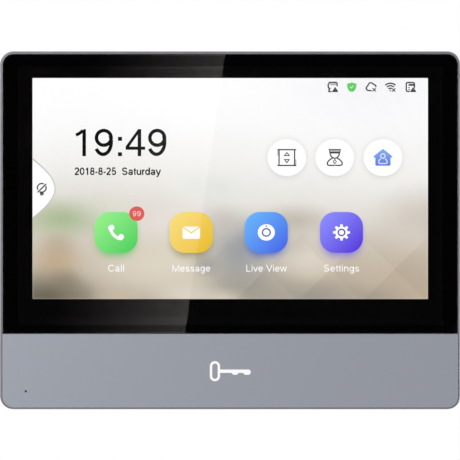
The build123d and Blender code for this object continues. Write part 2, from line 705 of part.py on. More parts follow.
with BuildPart() as main_board:
    with BuildSketch(at(BOARD_BACK)):
        with Locations((0, BOARD_Z)):
            RectangleRounded(BOARD_W, BOARD_H, 2)
        with Locations(*BOARD_SCREWS):
            Circle(1.6, mode=Mode.SUBTRACT)
        with Locations((JACK_X, (JACK_LOW + JACK_TOP) / 2)):
            Rectangle(JACK_W + 0.6, JACK_TOP - JACK_LOW + 0.6, mode=Mode.SUBTRACT)
    extrude(amount=BOARD_T)
finish(main_board, "main_board")

with BuildPart() as ethernet_jack:
    with BuildSketch(at(JACK_BACK)):
        with Locations((JACK_X, (JACK_LOW + JACK_TOP) / 2)):
            Rectangle(JACK_W, JACK_TOP - JACK_LOW)
    extrude(amount=JACK_FRONT - JACK_BACK)
    with BuildSketch(Plane.XY.offset(JACK_LOW)):
        with Locations((JACK_X, -JACK_SOCKET_AT)):
            Rectangle(*JACK_SOCKET)
        # Notch for the plug's latch, on the side away from the board
        with Locations((JACK_X, -JACK_SOCKET_AT + JACK_SOCKET[1] / 2)):
            Rectangle(6.0, 1.6)
    extrude(amount=JACK_SOCKET_DEPTH, mode=Mode.SUBTRACT)
finish(ethernet_jack, "ethernet_jack")

CONTACT_PITCH = 1.02
with BuildPart() as jack_contacts:
    with BuildSketch(Plane.XY.offset(JACK_LOW + 3)):
        with Locations((JACK_X, -JACK_SOCKET_AT - JACK_SOCKET[1] / 2 + 0.5)):
            with GridLocations(CONTACT_PITCH, 0, 8, 1):
                Rectangle(0.4, 1.0)
    extrude(amount=JACK_SOCKET_DEPTH - 3)
finish(jack_contacts, "jack_contacts")

TERMINAL_PITCH = 3.5
TERMINAL_COUNT = 8
TERMINAL_W = TERMINAL_PITCH * TERMINAL_COUNT
TERMINAL_X = 6.0
TERMINAL_LOW = 6.0
TERMINAL_TOP = 15.0
TERMINAL_BACK = 3.6
WIRE_MOUTH = 2.5
with BuildPart() as terminal_block:
    with BuildSketch(at(TERMINAL_BACK)):
        with Locations((TERMINAL_X, (TERMINAL_LOW + TERMINAL_TOP) / 2)):
            Rectangle(TERMINAL_W, TERMINAL_TOP - TERMINAL_LOW)
    extrude(amount=BOARD_BACK - TERMINAL_BACK)
    with BuildSketch(Plane.XY.offset(TERMINAL_LOW)):
        with Locations((TERMINAL_X, -8.0)):
            with GridLocations(TERMINAL_PITCH, 0, TERMINAL_COUNT, 1):
                Rectangle(WIRE_MOUTH, WIRE_MOUTH)
    extrude(amount=6.0, mode=Mode.SUBTRACT)
    with BuildSketch(at(TERMINAL_BACK)):
        with Locations((TERMINAL_X, TERMINAL_LOW + 4)):
            with GridLocations(TERMINAL_PITCH, 0, TERMINAL_COUNT, 1):
                Circle(1.35)
    extrude(amount=2.5, mode=Mode.SUBTRACT)
finish(terminal_block, "terminal_block")

terminal_screw_centres = [
    (TERMINAL_X + (n - (TERMINAL_COUNT - 1) / 2) * TERMINAL_PITCH, TERMINAL_LOW + 4)
    for n in range(TERMINAL_COUNT)]
with BuildPart() as terminal_screws:
    with BuildSketch(at(TERMINAL_BACK + 0.6)):
        with Locations(*terminal_screw_centres):
            Circle(1.25)
    extrude(amount=1.9)
    with BuildSketch(at(TERMINAL_BACK + 0.6)):
        with Locations(*terminal_screw_centres):
            Rectangle(2.6, 0.45)
    extrude(amount=0.7, mode=Mode.SUBTRACT)
finish(terminal_screws, "terminal_screws")

CARD_W = 11.0
CARD_L = 15.0
CARD_T = 1.0
CARD_X = 32.0
SLOT_LOW = 5.0
SLOT_TOP = 20.5
SLOT_BACK = 9.5
CARD_LOW = SLOT_LOW - 1.2
CARD_BACK = 10.0
CARD_FIT = 0.3
with BuildPart() as memory_slot:
    with BuildSketch(at(SLOT_BACK)):
        with Locations((CARD_X, (SLOT_LOW + SLOT_TOP) / 2)):
            Rectangle(14, SLOT_TOP - SLOT_LOW)
    extrude(amount=BOARD_BACK - SLOT_BACK)
    with BuildSketch(at(CARD_BACK - CARD_FIT)):
        with Locations((CARD_X, (SLOT_LOW + SLOT_TOP - 0.5) / 2)):
            Rectangle(CARD_W + 2 * CARD_FIT, SLOT_TOP - SLOT_LOW - 0.5)
    extrude(amount=CARD_T + 2 * CARD_FIT - 0.1, mode=Mode.SUBTRACT)
finish(memory_slot, "memory_slot")

with BuildPart() as memory_card:
    with BuildSketch(at(CARD_BACK)):
        with BuildLine():
            Polyline((CARD_X - CARD_W / 2, CARD_LOW), (CARD_X + CARD_W / 2, CARD_LOW),
                     (CARD_X + CARD_W / 2, CARD_LOW + 8.5),
                     (CARD_X + CARD_W / 2 - 1.3, CARD_LOW + 9.8),
                     (CARD_X + CARD_W / 2 - 1.3, CARD_LOW + CARD_L),
                     (CARD_X - CARD_W / 2, CARD_LOW + CARD_L), close=True)
        make_face()
    extrude(amount=CARD_T)
finish(memory_card, "memory_card")

RESET = (33.0, -22.0)
RESET_BODY = 6.0
RESET_BACK = 8.0
BUTTON_R = 1.7
BUTTON_BACK = 6.8
with BuildPart() as reset_switch:
    with BuildSketch(at(RESET_BACK)):
        with Locations(RESET):
            RectangleRounded(RESET_BODY, RESET_BODY, 0.5)
            Circle(BUTTON_R + 0.1, mode=Mode.SUBTRACT)
    extrude(amount=2.2)
    with BuildSketch(at(RESET_BACK + 2.2)):
        with Locations(RESET):
            RectangleRounded(RESET_BODY, RESET_BODY, 0.5)
    extrude(amount=BOARD_BACK - RESET_BACK - 2.2)
finish(reset_switch, "reset_switch")

with BuildPart() as reset_button:
    with BuildSketch(at(BUTTON_BACK)):
        with Locations(RESET):
            Circle(BUTTON_R)
    extrude(amount=2.8)
    fillet(reset_button.faces().sort_by(Axis.Y)[-1].edges(), 0.3)
finish(reset_button, "reset_button")

PROCESSOR = (0.0, 30.0)
PROCESSOR_FRONT = BOARD_FRONT + 1.3
finish(slab((17, 17), PROCESSOR, BOARD_FRONT, PROCESSOR_FRONT), "processor")
finish(slab((15, 15), PROCESSOR, PROCESSOR_FRONT, TRAY_BACK - 0.05), "heat_pad")

SHIELD_SHEET = 0.3
with BuildPart() as shield_can:
    with BuildSketch(at(BOARD_FRONT)):
        with Locations((34, 30)):
            RectangleRounded(28, 22, 1)
    extrude(amount=2.3)
    with BuildSketch(at(BOARD_FRONT)):
        with Locations((34, 30)):
            Rectangle(28 - 2 * SHIELD_SHEET, 22 - 2 * SHIELD_SHEET)
    extrude(amount=2.3 - SHIELD_SHEET, mode=Mode.SUBTRACT)
finish(shield_can, "shield_can")

with BuildPart() as capacitors:
    with BuildSketch(at(7.1)):
        with Locations((-58, -22), (-58, -12), (-58, -2), (-58, 8), (-58, 18)):
            Circle(3.1)
    extrude(amount=BOARD_BACK - 7.1)
finish(capacitors, "capacitors")

BATTERY = (-40.0, -5.0)
BATTERY_R = 6.25
with BuildPart() as battery_holder:
    with BuildSketch(at(BOARD_FRONT)):
        with Locations(BATTERY):
            RectangleRounded(17, 17, 2)
    extrude(amount=3.0)
    with BuildSketch(at(BOARD_FRONT + 0.6)):
        with Locations(BATTERY):
            Circle(BATTERY_R + FIT)
    extrude(amount=2.4, mode=Mode.SUBTRACT)
finish(battery_holder, "battery_holder")

with BuildPart() as clock_battery:
    with BuildSketch(at(BOARD_FRONT + 0.6)):
        with Locations(BATTERY):
            Circle(BATTERY_R)
    extrude(amount=2.0)
finish(clock_battery, "clock_battery")

with BuildPart() as board_connectors:
    with BuildSketch(at(BOARD_FRONT)):
        for x, width in ((-5.0, 40.0), (22.0, 13.0), (45.0, 22.0)):
            with Locations((x, CONNECTOR_Z)):
                Rectangle(width, 4.0)
    extrude(amount=2.0)
finish(board_connectors, "board_connectors")

WIFI = (-58.0, 36.0)
finish(slab((16, 14), WIFI, BOARD_FRONT, BOARD_FRONT + 2.2, 0.8), "wifi_module")

ANTENNA_X = -(INNER_W / 2) + 0.2
with BuildPart() as wifi_antenna:
    with BuildSketch(Plane.XY.offset(66)):
        with Locations((ANTENNA_X, -17.5)):
            Rectangle(0.4, 5.0)
    extrude(amount=26)
finish(wifi_antenna, "wifi_antenna")

antenna_lead = lead([(ANTENNA_X + 0.8, 66.0, 15.9), (ANTENNA_X + 0.8, 54.0, 15.9),
                     (-112.0, 46.0, 15.9), (-84.0, 40.0, 15.9), (-66.0, 36.0, 15.9)],
                    [7.0, 12.0, 12.0], 1.1)
finish(antenna_lead, "antenna_lead")

finish(screws(BOARD_SCREWS, BOARD_FRONT, 2.8, 1.7, 1.15, 6.0, towards_room=False), "board_screws")

# ---- Loudspeaker --------------------------------------------------------------------
RING_OUT = 15.0
CONE_R = 12.2
COIL_R = 4.4
COIL_WALL = 0.4
POT_R = 8.5
MAGNET_FRONT = 13.0


def round_profile(points):
    """Closed half-section turned about the loudspeaker's axis, from (radius, depth) points."""
    with BuildPart() as turned:
        with BuildSketch(Plane.XY.offset(SPEAKER[1])):
            with BuildLine():
                Polyline(*[(SPEAKER[0] + r, -depth) for r, depth in points], close=True)
            make_face()
        axis = Axis((SPEAKER[0], 0, SPEAKER[1]), (0, 1, 0))
        revolve(axis=axis)
    return turned


with BuildPart() as speaker_gasket:
    with BuildSketch(at(HOUSING_BACK + HOUSING_WALL)):
        with Locations(SPEAKER):
            Circle(RING_OUT + 1)
            Circle(RING_OUT - 1.5, mode=Mode.SUBTRACT)
    extrude(amount=SPEAKER_FRONT - HOUSING_BACK - HOUSING_WALL)
finish(speaker_gasket, "speaker_gasket")

with BuildPart() as speaker_basket:
    with BuildSketch(at(SPEAKER_FRONT)):
        with Locations(SPEAKER):
            RectangleRounded(SPEAKER_FLANGE, SPEAKER_FLANGE, 2.5)
            Circle(RING_OUT - 0.2, mode=Mode.SUBTRACT)
            with GridLocations(2 * SPEAKER_HOLE, 2 * SPEAKER_HOLE, 2, 2):
                Circle(1.2, mode=Mode.SUBTRACT)
    extrude(amount=1.0)
    with BuildSketch(Plane.XY.offset(SPEAKER[1])):
        with BuildLine():
            Polyline(*[(SPEAKER[0] + r, -d) for r, d in (
                (RING_OUT - 0.2, SPEAKER_FRONT), (RING_OUT + 0.8, SPEAKER_FRONT),
                (RING_OUT + 0.8, 5.6), (9.6, SPEAKER_BACK), (6.0, SPEAKER_BACK),
                (6.0, SPEAKER_BACK - 0.8), (9.0, SPEAKER_BACK - 0.8),
                (RING_OUT - 0.2, 5.2))], close=True)
        make_face()
    revolve(axis=Axis((SPEAKER[0], 0, SPEAKER[1]), (0, 1, 0)))
finish(speaker_basket, "speaker_basket")

speaker_magnet = round_profile([(0, SPEAKER_BACK), (COIL_R - 1.0, SPEAKER_BACK),
                                (COIL_R - 1.0, MAGNET_FRONT - 1.0),
                                (COIL_R + 0.8, MAGNET_FRONT - 1.0),
                                (COIL_R + 0.8, SPEAKER_BACK),
                                (POT_R, SPEAKER_BACK), (POT_R, MAGNET_FRONT), (0, MAGNET_FRONT)])
finish(speaker_magnet, "speaker_magnet")

speaker_cone = round_profile([(0, 6.0), (3.4, 6.5), (COIL_R, 7.6), (CONE_R, 4.5), (CONE_R, 4.9),
                              (COIL_R, 8.0), (3.2, 6.9), (0, 6.4)])
finish(speaker_cone, "speaker_cone")

voice_coil = round_profile([(COIL_R - COIL_WALL, 8.0), (COIL_R, 8.0), (COIL_R, 11.2),
                            (COIL_R - COIL_WALL, 11.2)])
finish(voice_coil, "voice_coil")

speaker_surround = round_profile([(CONE_R, 4.5), (12.9, 3.9), (13.7, 3.9), (14.75, 4.5),
                                  (14.75, 4.8), (13.6, 4.2), (13.0, 4.2), (CONE_R, 4.8)])
finish(speaker_surround, "speaker_surround")

speaker_screw_centres = [(SPEAKER[0] + sx * SPEAKER_HOLE, SPEAKER[1] + sz * SPEAKER_HOLE)
                         for sx in (-1, 1) for sz in (-1, 1)]
finish(screws(speaker_screw_centres, SPEAKER_FRONT + 1.0, 1.9, 1.2, 0.75, 2.4,
              towards_room=False), "speaker_screws")

speaker_lead = lead([(SPEAKER[0] - 9.2, -36.0, 9.0), (79.0, -30.0, 13.2), (76.0, -22.0, 15.0),
                     (69.0, -20.0, 14.2)], [3.0, 4.0], 1.2)
finish(speaker_lead, "speaker_lead")

finish(screws(HOUSING_SCREWS, FLANGE_BACK, 2.8, 1.8, THREAD_R, 7.0), "housing_screws")

for piece in pieces:
    export_step(piece.part, f"parts/{piece.part.label}.step")
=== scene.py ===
"""Looks of the wall-hung video intercom monitor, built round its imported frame."""
import json
from math import cos, pi, sin

import bmesh
import bpy
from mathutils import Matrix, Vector
from mathutils.geometry import tessellate_polygon


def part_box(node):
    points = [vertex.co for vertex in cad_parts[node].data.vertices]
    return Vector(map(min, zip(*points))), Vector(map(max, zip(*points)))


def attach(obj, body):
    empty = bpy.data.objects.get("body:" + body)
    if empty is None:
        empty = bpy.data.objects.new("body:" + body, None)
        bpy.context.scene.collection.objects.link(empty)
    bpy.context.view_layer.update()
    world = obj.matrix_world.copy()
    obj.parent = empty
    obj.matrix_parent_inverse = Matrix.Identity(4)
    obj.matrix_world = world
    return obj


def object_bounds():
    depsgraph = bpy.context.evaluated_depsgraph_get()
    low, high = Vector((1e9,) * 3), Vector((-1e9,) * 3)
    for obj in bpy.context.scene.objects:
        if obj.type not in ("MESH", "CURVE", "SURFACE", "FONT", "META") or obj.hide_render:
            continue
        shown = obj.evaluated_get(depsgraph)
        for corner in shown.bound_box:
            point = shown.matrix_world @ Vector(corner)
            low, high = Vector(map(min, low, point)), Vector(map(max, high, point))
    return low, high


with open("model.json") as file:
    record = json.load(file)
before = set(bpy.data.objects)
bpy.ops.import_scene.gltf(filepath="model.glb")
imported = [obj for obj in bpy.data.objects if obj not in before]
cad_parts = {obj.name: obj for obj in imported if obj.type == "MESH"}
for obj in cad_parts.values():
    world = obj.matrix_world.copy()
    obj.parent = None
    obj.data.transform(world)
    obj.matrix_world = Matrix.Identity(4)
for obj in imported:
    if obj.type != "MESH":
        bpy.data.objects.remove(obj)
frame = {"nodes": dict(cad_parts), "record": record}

CAD_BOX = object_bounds()
MM = 0.001
NODES = frame["nodes"]
SLOT_OF = {part["node"]: part["material_slot"] for part in frame["record"]["subparts"]}


# ---- Colours and node materials -----------------------------------------------------
def linear(red, green, blue):
    """Linear colour of an 8-bit screen colour."""
    def channel(value):
        share = value / 255
        return share / 12.92 if share <= 0.04045 else ((share + 0.055) / 1.055) ** 2.4
    return (channel(red), channel(green), channel(blue), 1.0)


def link(tree, source, target):
    """Join a node's output to another's input."""
    tree.links.new(source, target)


def math_node(tree, operation, first, second=None, clamp=False):
    """Math node; each input is a number or another node's output."""
    node = tree.nodes.new("ShaderNodeMath")
    node.operation, node.use_clamp = operation, clamp
    for socket, value in zip(node.inputs, (first, second)):
        if value is None:
            continue
        if isinstance(value, (int, float)):
            socket.default_value = value
        else:
            link(tree, value, socket)
    return node.outputs[0]


def mix_colour(tree, share, first, second, mode="MIX"):
    """Colour mix; colours are tuples or outputs, and share is a number or an output."""
    node = tree.nodes.new("ShaderNodeMix")
    node.data_type, node.blend_type = "RGBA", mode
    for socket, value in ((node.inputs[0], share), (node.inputs[6], first), (node.inputs[7], second)):
        if isinstance(value, (int, float, tuple)):
            socket.default_value = value
        else:
            link(tree, value, socket)
    return node.outputs[2]


def object_point(tree):
    """Position on the piece, in metres."""
    return tree.nodes.new("ShaderNodeTexCoord").outputs["Object"]


def split_point(tree):
    """X, Y and Z on the piece, in metres."""
    split = tree.nodes.new("ShaderNodeSeparateXYZ")
    link(tree, object_point(tree), split.inputs[0])
    return split.outputs


def cells(tree, scale, randomness=1.0, distance="EUCLIDEAN"):
    """Voronoi cells over the piece; scale is in cells per metre."""
    node = tree.nodes.new("ShaderNodeTexVoronoi")
    node.distance = distance
    node.inputs["Scale"].default_value = scale
    node.inputs["Randomness"].default_value = randomness
    link(tree, object_point(tree), node.inputs["Vector"])
    return node.outputs


def noise(tree, scale, detail=2.0, roughness=0.5):
    """Noise value over the piece; scale is in waves per metre."""
    node = tree.nodes.new("ShaderNodeTexNoise")
    node.inputs["Scale"].default_value = scale
    node.inputs["Detail"].default_value = detail
    node.inputs["Roughness"].default_value = roughness
    link(tree, object_point(tree), node.inputs["Vector"])
    return node.outputs[0]


def spread(tree, value, low, high, from_low=0.3, from_high=0.7, smooth=False):
    """Value stretched from one range to another."""
    node = tree.nodes.new("ShaderNodeMapRange")
    if smooth:
        node.interpolation_type = "SMOOTHSTEP"
    link(tree, value, node.inputs[0])
    for socket, number in zip(node.inputs[1:5], (from_low, from_high, low, high)):
        socket.default_value = number
    return node.outputs[0]


def new_material(name, colour, roughness, metallic=0.0):
    """Principled material; returns the material, its tree and its shader node."""
    material = bpy.data.materials.new(name)
    material.use_nodes = True
    tree = material.node_tree
    shader = tree.nodes["Principled BSDF"]
    shader.inputs["Base Color"].default_value = colour
    shader.inputs["Roughness"].default_value = roughness
    shader.inputs["Metallic"].default_value = metallic
    return material, tree, shader


def add_bump(tree, shader, height, distance, strength):
    """Fine relief from a height value; distance is in metres."""
    node = tree.nodes.new("ShaderNodeBump")
    node.inputs["Strength"].default_value = strength
    node.inputs["Distance"].default_value = distance
    link(tree, height, node.inputs["Height"])
    link(tree, node.outputs[0], shader.inputs["Normal"])


def surface(name, colour, second, roughness, metallic=0.0, patch=60.0, grain=2500.0,
            bump=0.00002, strength=0.4):
    """Material with patchy colour, patchy roughness and a fine grain in its surface."""
    material, tree, shader = new_material(name, colour, roughness, metallic)
    patches = noise(tree, patch, 3.0, 0.55)
    link(tree, mix_colour(tree, spread(tree, patches, 0.0, 1.0), colour, second),
         shader.inputs["Base Color"])
    fine = noise(tree, grain, 2.0, 0.6)
    link(tree, spread(tree, noise(tree, patch * 3, 2.0), roughness * 0.85, roughness * 1.15),
         shader.inputs["Roughness"])
    add_bump(tree, shader, fine, bump, strength)
    return material


def galvanised(name):
    """Zinc-plated sheet: pale spangles of slightly different greys."""
    material, tree, shader = new_material(name, (0.6, 0.61, 0.62, 1), 0.38, 1.0)
    tone = tree.nodes.new("ShaderNodeSeparateColor")
    link(tree, cells(tree, 260)["Color"], tone.inputs[0])
    link(tree, mix_colour(tree, tone.outputs[0], (0.40, 0.41, 0.43, 1), (0.58, 0.59, 0.60, 1)),
         shader.inputs["Base Color"])
    link(tree, spread(tree, tone.outputs[1], 0.34, 0.52, 0.0, 1.0), shader.inputs["Roughness"])
    add_bump(tree, shader, noise(tree, 900, 3.0), 0.00003, 0.3)
    return material


def circuit(name):
    """Green solder mask with raised tracks, and bright pads."""
    material, tree, shader = new_material(name, (0.01, 0.11, 0.05, 1), 0.35)
    squares = cells(tree, 170, distance="CHEBYCHEV")["Distance"]
    tracks = spread(tree, math_node(tree, "SINE", math_node(tree, "MULTIPLY", squares, 70.0)),
                    0.0, 1.0, 0.35, 0.55)
    pads = spread(tree, cells(tree, 210, 0.55)["Distance"], 1.0, 0.0, 0.13, 0.16)
    mask = mix_colour(tree, tracks, (0.006, 0.075, 0.03, 1), (0.015, 0.16, 0.07, 1))
    link(tree, mix_colour(tree, pads, mask, (0.62, 0.62, 0.6, 1)), shader.inputs["Base Color"])
    link(tree, pads, shader.inputs["Metallic"])
    add_bump(tree, shader, tracks, 0.00004, 0.6)
    return material


def clear_pane(name, tint, index):
    """Polished clear pane."""
    material, tree, shader = new_material(name, tint, 0.0)
    shader.inputs["Transmission Weight"].default_value = 1.0
    shader.inputs["IOR"].default_value = index
    link(tree, spread(tree, noise(tree, 45, 3.0), 0.0, 0.03, 0.45, 0.75),
         shader.inputs["Roughness"])
    return material


def clear_film(name):
    """Touch sensor film, almost invisible."""
    material, tree, shader = new_material(name, (0.02, 0.02, 0.02, 1), 0.3)
    tone = spread(tree, noise(tree, 200), 0.0, 1.0)
    link(tree, mix_colour(tree, tone, (0.018, 0.018, 0.02, 1), (0.022, 0.022, 0.024, 1)),
         shader.inputs["Base Color"])
    shader.inputs["Alpha"].default_value = 0.006
    return material


def glowing(name, colour, strength):
    """Evenly lit surface, as a light guide shows."""
    material, tree, shader = new_material(name, (0.5, 0.5, 0.5, 1), 0.35)
    shader.inputs["Emission Strength"].default_value = strength
    soft = spread(tree, noise(tree, 300, 1.0), 0.96, 1.0)
    link(tree, mix_colour(tree, soft, (0.9, 0.95, 1.0, 1), colour), shader.inputs["Emission Color"])
    return material


def felt_fronted(name, front):
    """Small metal can with a black felt disc glued on its front."""
    material, tree, shader = new_material(name, (0.68, 0.68, 0.7, 1), 0.3)
    metal = spread(tree, split_point(tree)[1], 0.0, 1.0, front + 0.1 * MM, front + 0.15 * MM)
    fibres = noise(tree, 9000, 3.0)
    felt = mix_colour(tree, fibres, (0.001, 0.001, 0.001, 1), (0.006, 0.006, 0.006, 1))
    link(tree, mix_colour(tree, metal, felt, (0.68, 0.68, 0.7, 1)), shader.inputs["Base Color"])
    link(tree, metal, shader.inputs["Metallic"])
    link(tree, spread(tree, metal, 0.95, 0.3, 0.0, 1.0), shader.inputs["Roughness"])
    add_bump(tree, shader, fibres, 0.00005, 0.5)
    return material


def anodised(name):
    """Satin anodised sheet: very fine even grain and a soft metallic sheen."""
    material, tree, shader = new_material(name, linear(158, 162, 172), 0.42, 0.4)
    fine = noise(tree, 5200, 2.0, 0.6)
    tone = mix_colour(tree, spread(tree, fine, 0.0, 1.0), linear(155, 159, 169), linear(162, 166, 176))
    link(tree, tone, shader.inputs["Base Color"])
    link(tree, spread(tree, noise(tree, 2400, 2.0), 0.38, 0.46), shader.inputs["Roughness"])
    add_bump(tree, shader, fine, 0.000006, 0.35)
    return material


MATERIALS = {
    "frame_alloy": surface("frame_paint", linear(134, 133, 140), linear(142, 141, 148), 0.36, 0.6,
                           90, 5200, 0.000006),
    "panel_alloy": anodised("panel_anodised"),
    "housing_plastic": surface("housing_moulded", (0.030, 0.031, 0.034, 1), (0.038, 0.039, 0.042, 1),
                               0.55, 0.0, 70, 1900, 0.00005, 0.55),
    "insert_plastic": surface("insert_moulded", linear(110, 111, 112), linear(117, 118, 119), 0.5),
    "galvanised_steel": galvanised("plate_galvanised"),
    "cover_glass": clear_pane("glass_polished", (1, 1, 1, 1), 1.45),
    "touch_film": clear_film("touch_clear"),
    "light_white": glowing("key_glow", (1, 1, 1, 1), 0.4),
    "circuit_board": circuit("board_green"),
    "black_foam_tape": surface("foam_black", (0.012, 0.012, 0.013, 1), (0.02, 0.02, 0.02, 1), 0.8),
    "flex_film": surface("polyimide", (0.52, 0.24, 0.05, 1), (0.6, 0.3, 0.08, 1), 0.3, 0.0, 300),
    "led_body": surface("led_package", (0.85, 0.82, 0.6, 1), (0.9, 0.88, 0.72, 1), 0.3, 0.0, 900),
    "screw_steel": surface("screw_nickel", (0.42, 0.42, 0.43, 1), (0.5, 0.5, 0.5, 1), 0.3, 1.0, 500),
    "black_rubber": surface("rubber_black", (0.006, 0.006, 0.006, 1), (0.01, 0.01, 0.01, 1), 0.85),
    "can_steel": surface("tinned_sheet", (0.62, 0.62, 0.61, 1), (0.72, 0.72, 0.7, 1), 0.28, 1.0, 250),
    "lead_black": surface("jacket_black", (0.02, 0.02, 0.02, 1), (0.03, 0.03, 0.03, 1), 0.5),
    "tray_steel": surface("stamped_sheet", (0.52, 0.53, 0.54, 1), (0.6, 0.6, 0.61, 1), 0.35, 1.0, 40),
    "black_plastic": surface("moulded_black", (0.02, 0.02, 0.021, 1), (0.03, 0.03, 0.03, 1), 0.5),
    "reflector_white": surface("reflector_foil", (0.9, 0.9, 0.9, 1), (0.94, 0.94, 0.94, 1), 0.4),
    "clear_acrylic": surface("light_guide_dots", (0.85, 0.88, 0.9, 1), (0.93, 0.95, 0.96, 1), 0.15,
                             0.0, 1200),
    "film_white": surface("diffuser", (0.84, 0.86, 0.87, 1), (0.9, 0.91, 0.92, 1), 0.5),
    "display_cell": surface("polariser", (0.012, 0.013, 0.014, 1), (0.016, 0.017, 0.018, 1), 0.25),
    "gold_contact": surface("gold_plated", (0.85, 0.6, 0.2, 1), (0.9, 0.68, 0.3, 1), 0.22, 1.0, 700),
    "terminal_green": surface("terminal_moulded", (0.02, 0.26, 0.09, 1), (0.03, 0.31, 0.12, 1), 0.45),
    "card_black": surface("card_smooth", (0.018, 0.018, 0.02, 1), (0.026, 0.026, 0.03, 1), 0.32),
    "button_plastic": surface("button_grey", (0.5, 0.5, 0.5, 1), (0.58, 0.58, 0.58, 1), 0.45),
    "chip_epoxy": surface("chip_black", (0.03, 0.03, 0.032, 1), (0.045, 0.045, 0.048, 1), 0.6),
    "pad_silicone": surface("pad_blue", (0.2, 0.33, 0.55, 1), (0.26, 0.4, 0.6, 1), 0.7),
    "can_aluminium": surface("drawn_can", (0.68, 0.68, 0.7, 1), (0.78, 0.78, 0.79, 1), 0.25, 1.0, 300),
    "connector_white": surface("nylon", (0.78, 0.75, 0.66, 1), (0.84, 0.82, 0.74, 1), 0.45),
    "magnet_steel": surface("pot_zinc", (0.5, 0.5, 0.49, 1), (0.58, 0.58, 0.56, 1), 0.35, 1.0, 200),
    "cone_paper": surface("pulp_black", (0.035, 0.035, 0.037, 1), (0.06, 0.06, 0.06, 1), 0.85, 0.0,
                          700, 1500, 0.00008),
    "coil_copper": surface("enamelled_wire", (0.6, 0.22, 0.08, 1), (0.7, 0.3, 0.12, 1), 0.3, 1.0, 900),
}
for node_name, node_object in NODES.items():
    node_object.data.materials.clear()
    node_object.data.materials.append(MATERIALS[SLOT_OF[node_name]])
NODES["microphone"].data.materials[0] = felt_fronted("microphone_can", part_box("microphone")[0].y)


def add_object(name, data):
    """New object in the scene."""
    item = bpy.data.objects.new(name, data)
    bpy.context.scene.collection.objects.link(item)
    return item


# ---- Flat drawing on the screen -----------------------------------------------------
PICTURE_W = 223.5
PICTURE_H = 124.9
PICTURE_R = 0.3                 # its corners
PICTURE_CENTRE = Vector((-0.05, 23.6))
SCREEN_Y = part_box("lcd_cell")[0].y
LAYER = 0.03                    # thickness of one drawn layer, in millimetres
SQUASH = 0.957                  # the picture shows round things this much lower than wide


def polar(centre, radius_x, radius_z, degrees):
    """Place on an ellipse at an angle in degrees."""
    turn = degrees * pi / 180
    return Vector((centre[0] + radius_x * cos(turn), centre[1] + radius_z * sin(turn)))


def arc(centre, radius_x, radius_z, start, end, steps=24):
    """Points along an ellipse between two angles in degrees."""
    return [polar(centre, radius_x, radius_z, start + (end - start) * n / steps)
            for n in range(steps + 1)]


def circle(centre, radius, steps=48):
    """Circle as the picture shows it, squashed a little."""
    return arc(centre, radius, radius * SQUASH, 0, 360, steps)[:-1]


def rounded(centre, width, height, radius, power=2.0, steps=10):
    """Rounded rectangle; a power above 2 makes the corners fuller, as on app tiles."""
    outline = []
    for corner, (side_x, side_z) in enumerate(((1, 1), (-1, 1), (-1, -1), (1, -1))):
        middle = (centre[0] + side_x * (width / 2 - radius), centre[1] + side_z * (height / 2 - radius))
        for n in range(steps + 1):
            turn = (corner + n / steps) * pi / 2
            reach_x = abs(cos(turn)) ** (2 / power) * (1 if cos(turn) >= 0 else -1)
            reach_z = abs(sin(turn)) ** (2 / power) * (1 if sin(turn) >= 0 else -1)
            outline.append(Vector((middle[0] + radius * reach_x, middle[1] + radius * reach_z)))
    return outline


def points(*pairs):
    """Path through the given places."""
    return [Vector(pair) for pair in pairs]


def turned(loop, centre, degrees):
    """Loop turned about a centre."""
    turn, middle = degrees * pi / 180, Vector(centre)
    return [middle + Vector(((p - middle).x * cos(turn) - (p - middle).y * sin(turn),
                             (p - middle).x * sin(turn) + (p - middle).y * cos(turn))) for p in loop]


def beside(path, distance, closed):
    """Path moved sideways by a distance, with mitred corners."""
    result, count = [], len(path)
    for n, point in enumerate(path):
        steps = []
        if closed or n:
            steps.append((point - path[n - 1]).normalized())
        if closed or n < count - 1:
            steps.append((path[(n + 1) % count] - point).normalized())
        sideways = [Vector((-step.y, step.x)) for step in (steps[0], steps[-1])]
        mitre = (sideways[0] + sideways[1]).normalized()
        result.append(point + mitre * distance / max(mitre.dot(sideways[0]), 0.4))
    return result


class Drawing:
    """One flat piece made of thin closed layers, in millimetres from the picture's centre."""

    def __init__(self, name):
        self.name, self.mesh, self.materials = name, bmesh.new(), []

    def fill(self, loops, material, level=1, thickness=LAYER, centre=PICTURE_CENTRE, front_of=None):
        """Filled outline with holes; level counts layers in front of the screen."""
        if material not in self.materials:
            self.materials.append(material)
        base = SCREEN_Y if front_of is None else front_of
        back = base - level * LAYER * MM
        front = back - thickness * MM
        flat = [p for loop in loops for p in loop]
        rings = []
        for depth in (front, back):
            rings.append([self.mesh.verts.new(((p.x + centre.x) * MM, depth, (p.y + centre.y) * MM))
                          for p in flat])
        index = self.materials.index(material)
        faces = []
        for corners in tessellate_polygon([[p.to_3d() for p in loop] for loop in loops]):
            for ring in rings:
                faces.append(self.mesh.faces.new([ring[c] for c in corners]))
        start = 0
        for loop in loops:
            for n in range(len(loop)):
                a, b = start + n, start + (n + 1) % len(loop)
                faces.append(self.mesh.faces.new((rings[0][a], rings[0][b], rings[1][b], rings[1][a])))
            start += len(loop)
        for face in faces:
            face.material_index = index

    def stroke(self, path, width, material, level=1, closed=False):
        """Line of even width along a path."""
        left, right = beside(path, width / 2, closed), beside(path, -width / 2, closed)
        if closed:
            inner, outer = sorted((left, right), key=lambda loop: max(p.x for p in loop))
            self.fill([outer, inner], material, level)
        else:
            self.fill([left + right[::-1]], material, level)

    def finish(self, body="monitor"):
        """Make the piece with its materials; it rides on a body."""
        bmesh.ops.recalc_face_normals(self.mesh, faces=self.mesh.faces)
        mesh = bpy.data.meshes.new(self.name)
        self.mesh.to_mesh(mesh)
        self.mesh.free()
        for material in self.materials:
            mesh.materials.append(material)
        piece = add_object(self.name, mesh)
        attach(piece, body)


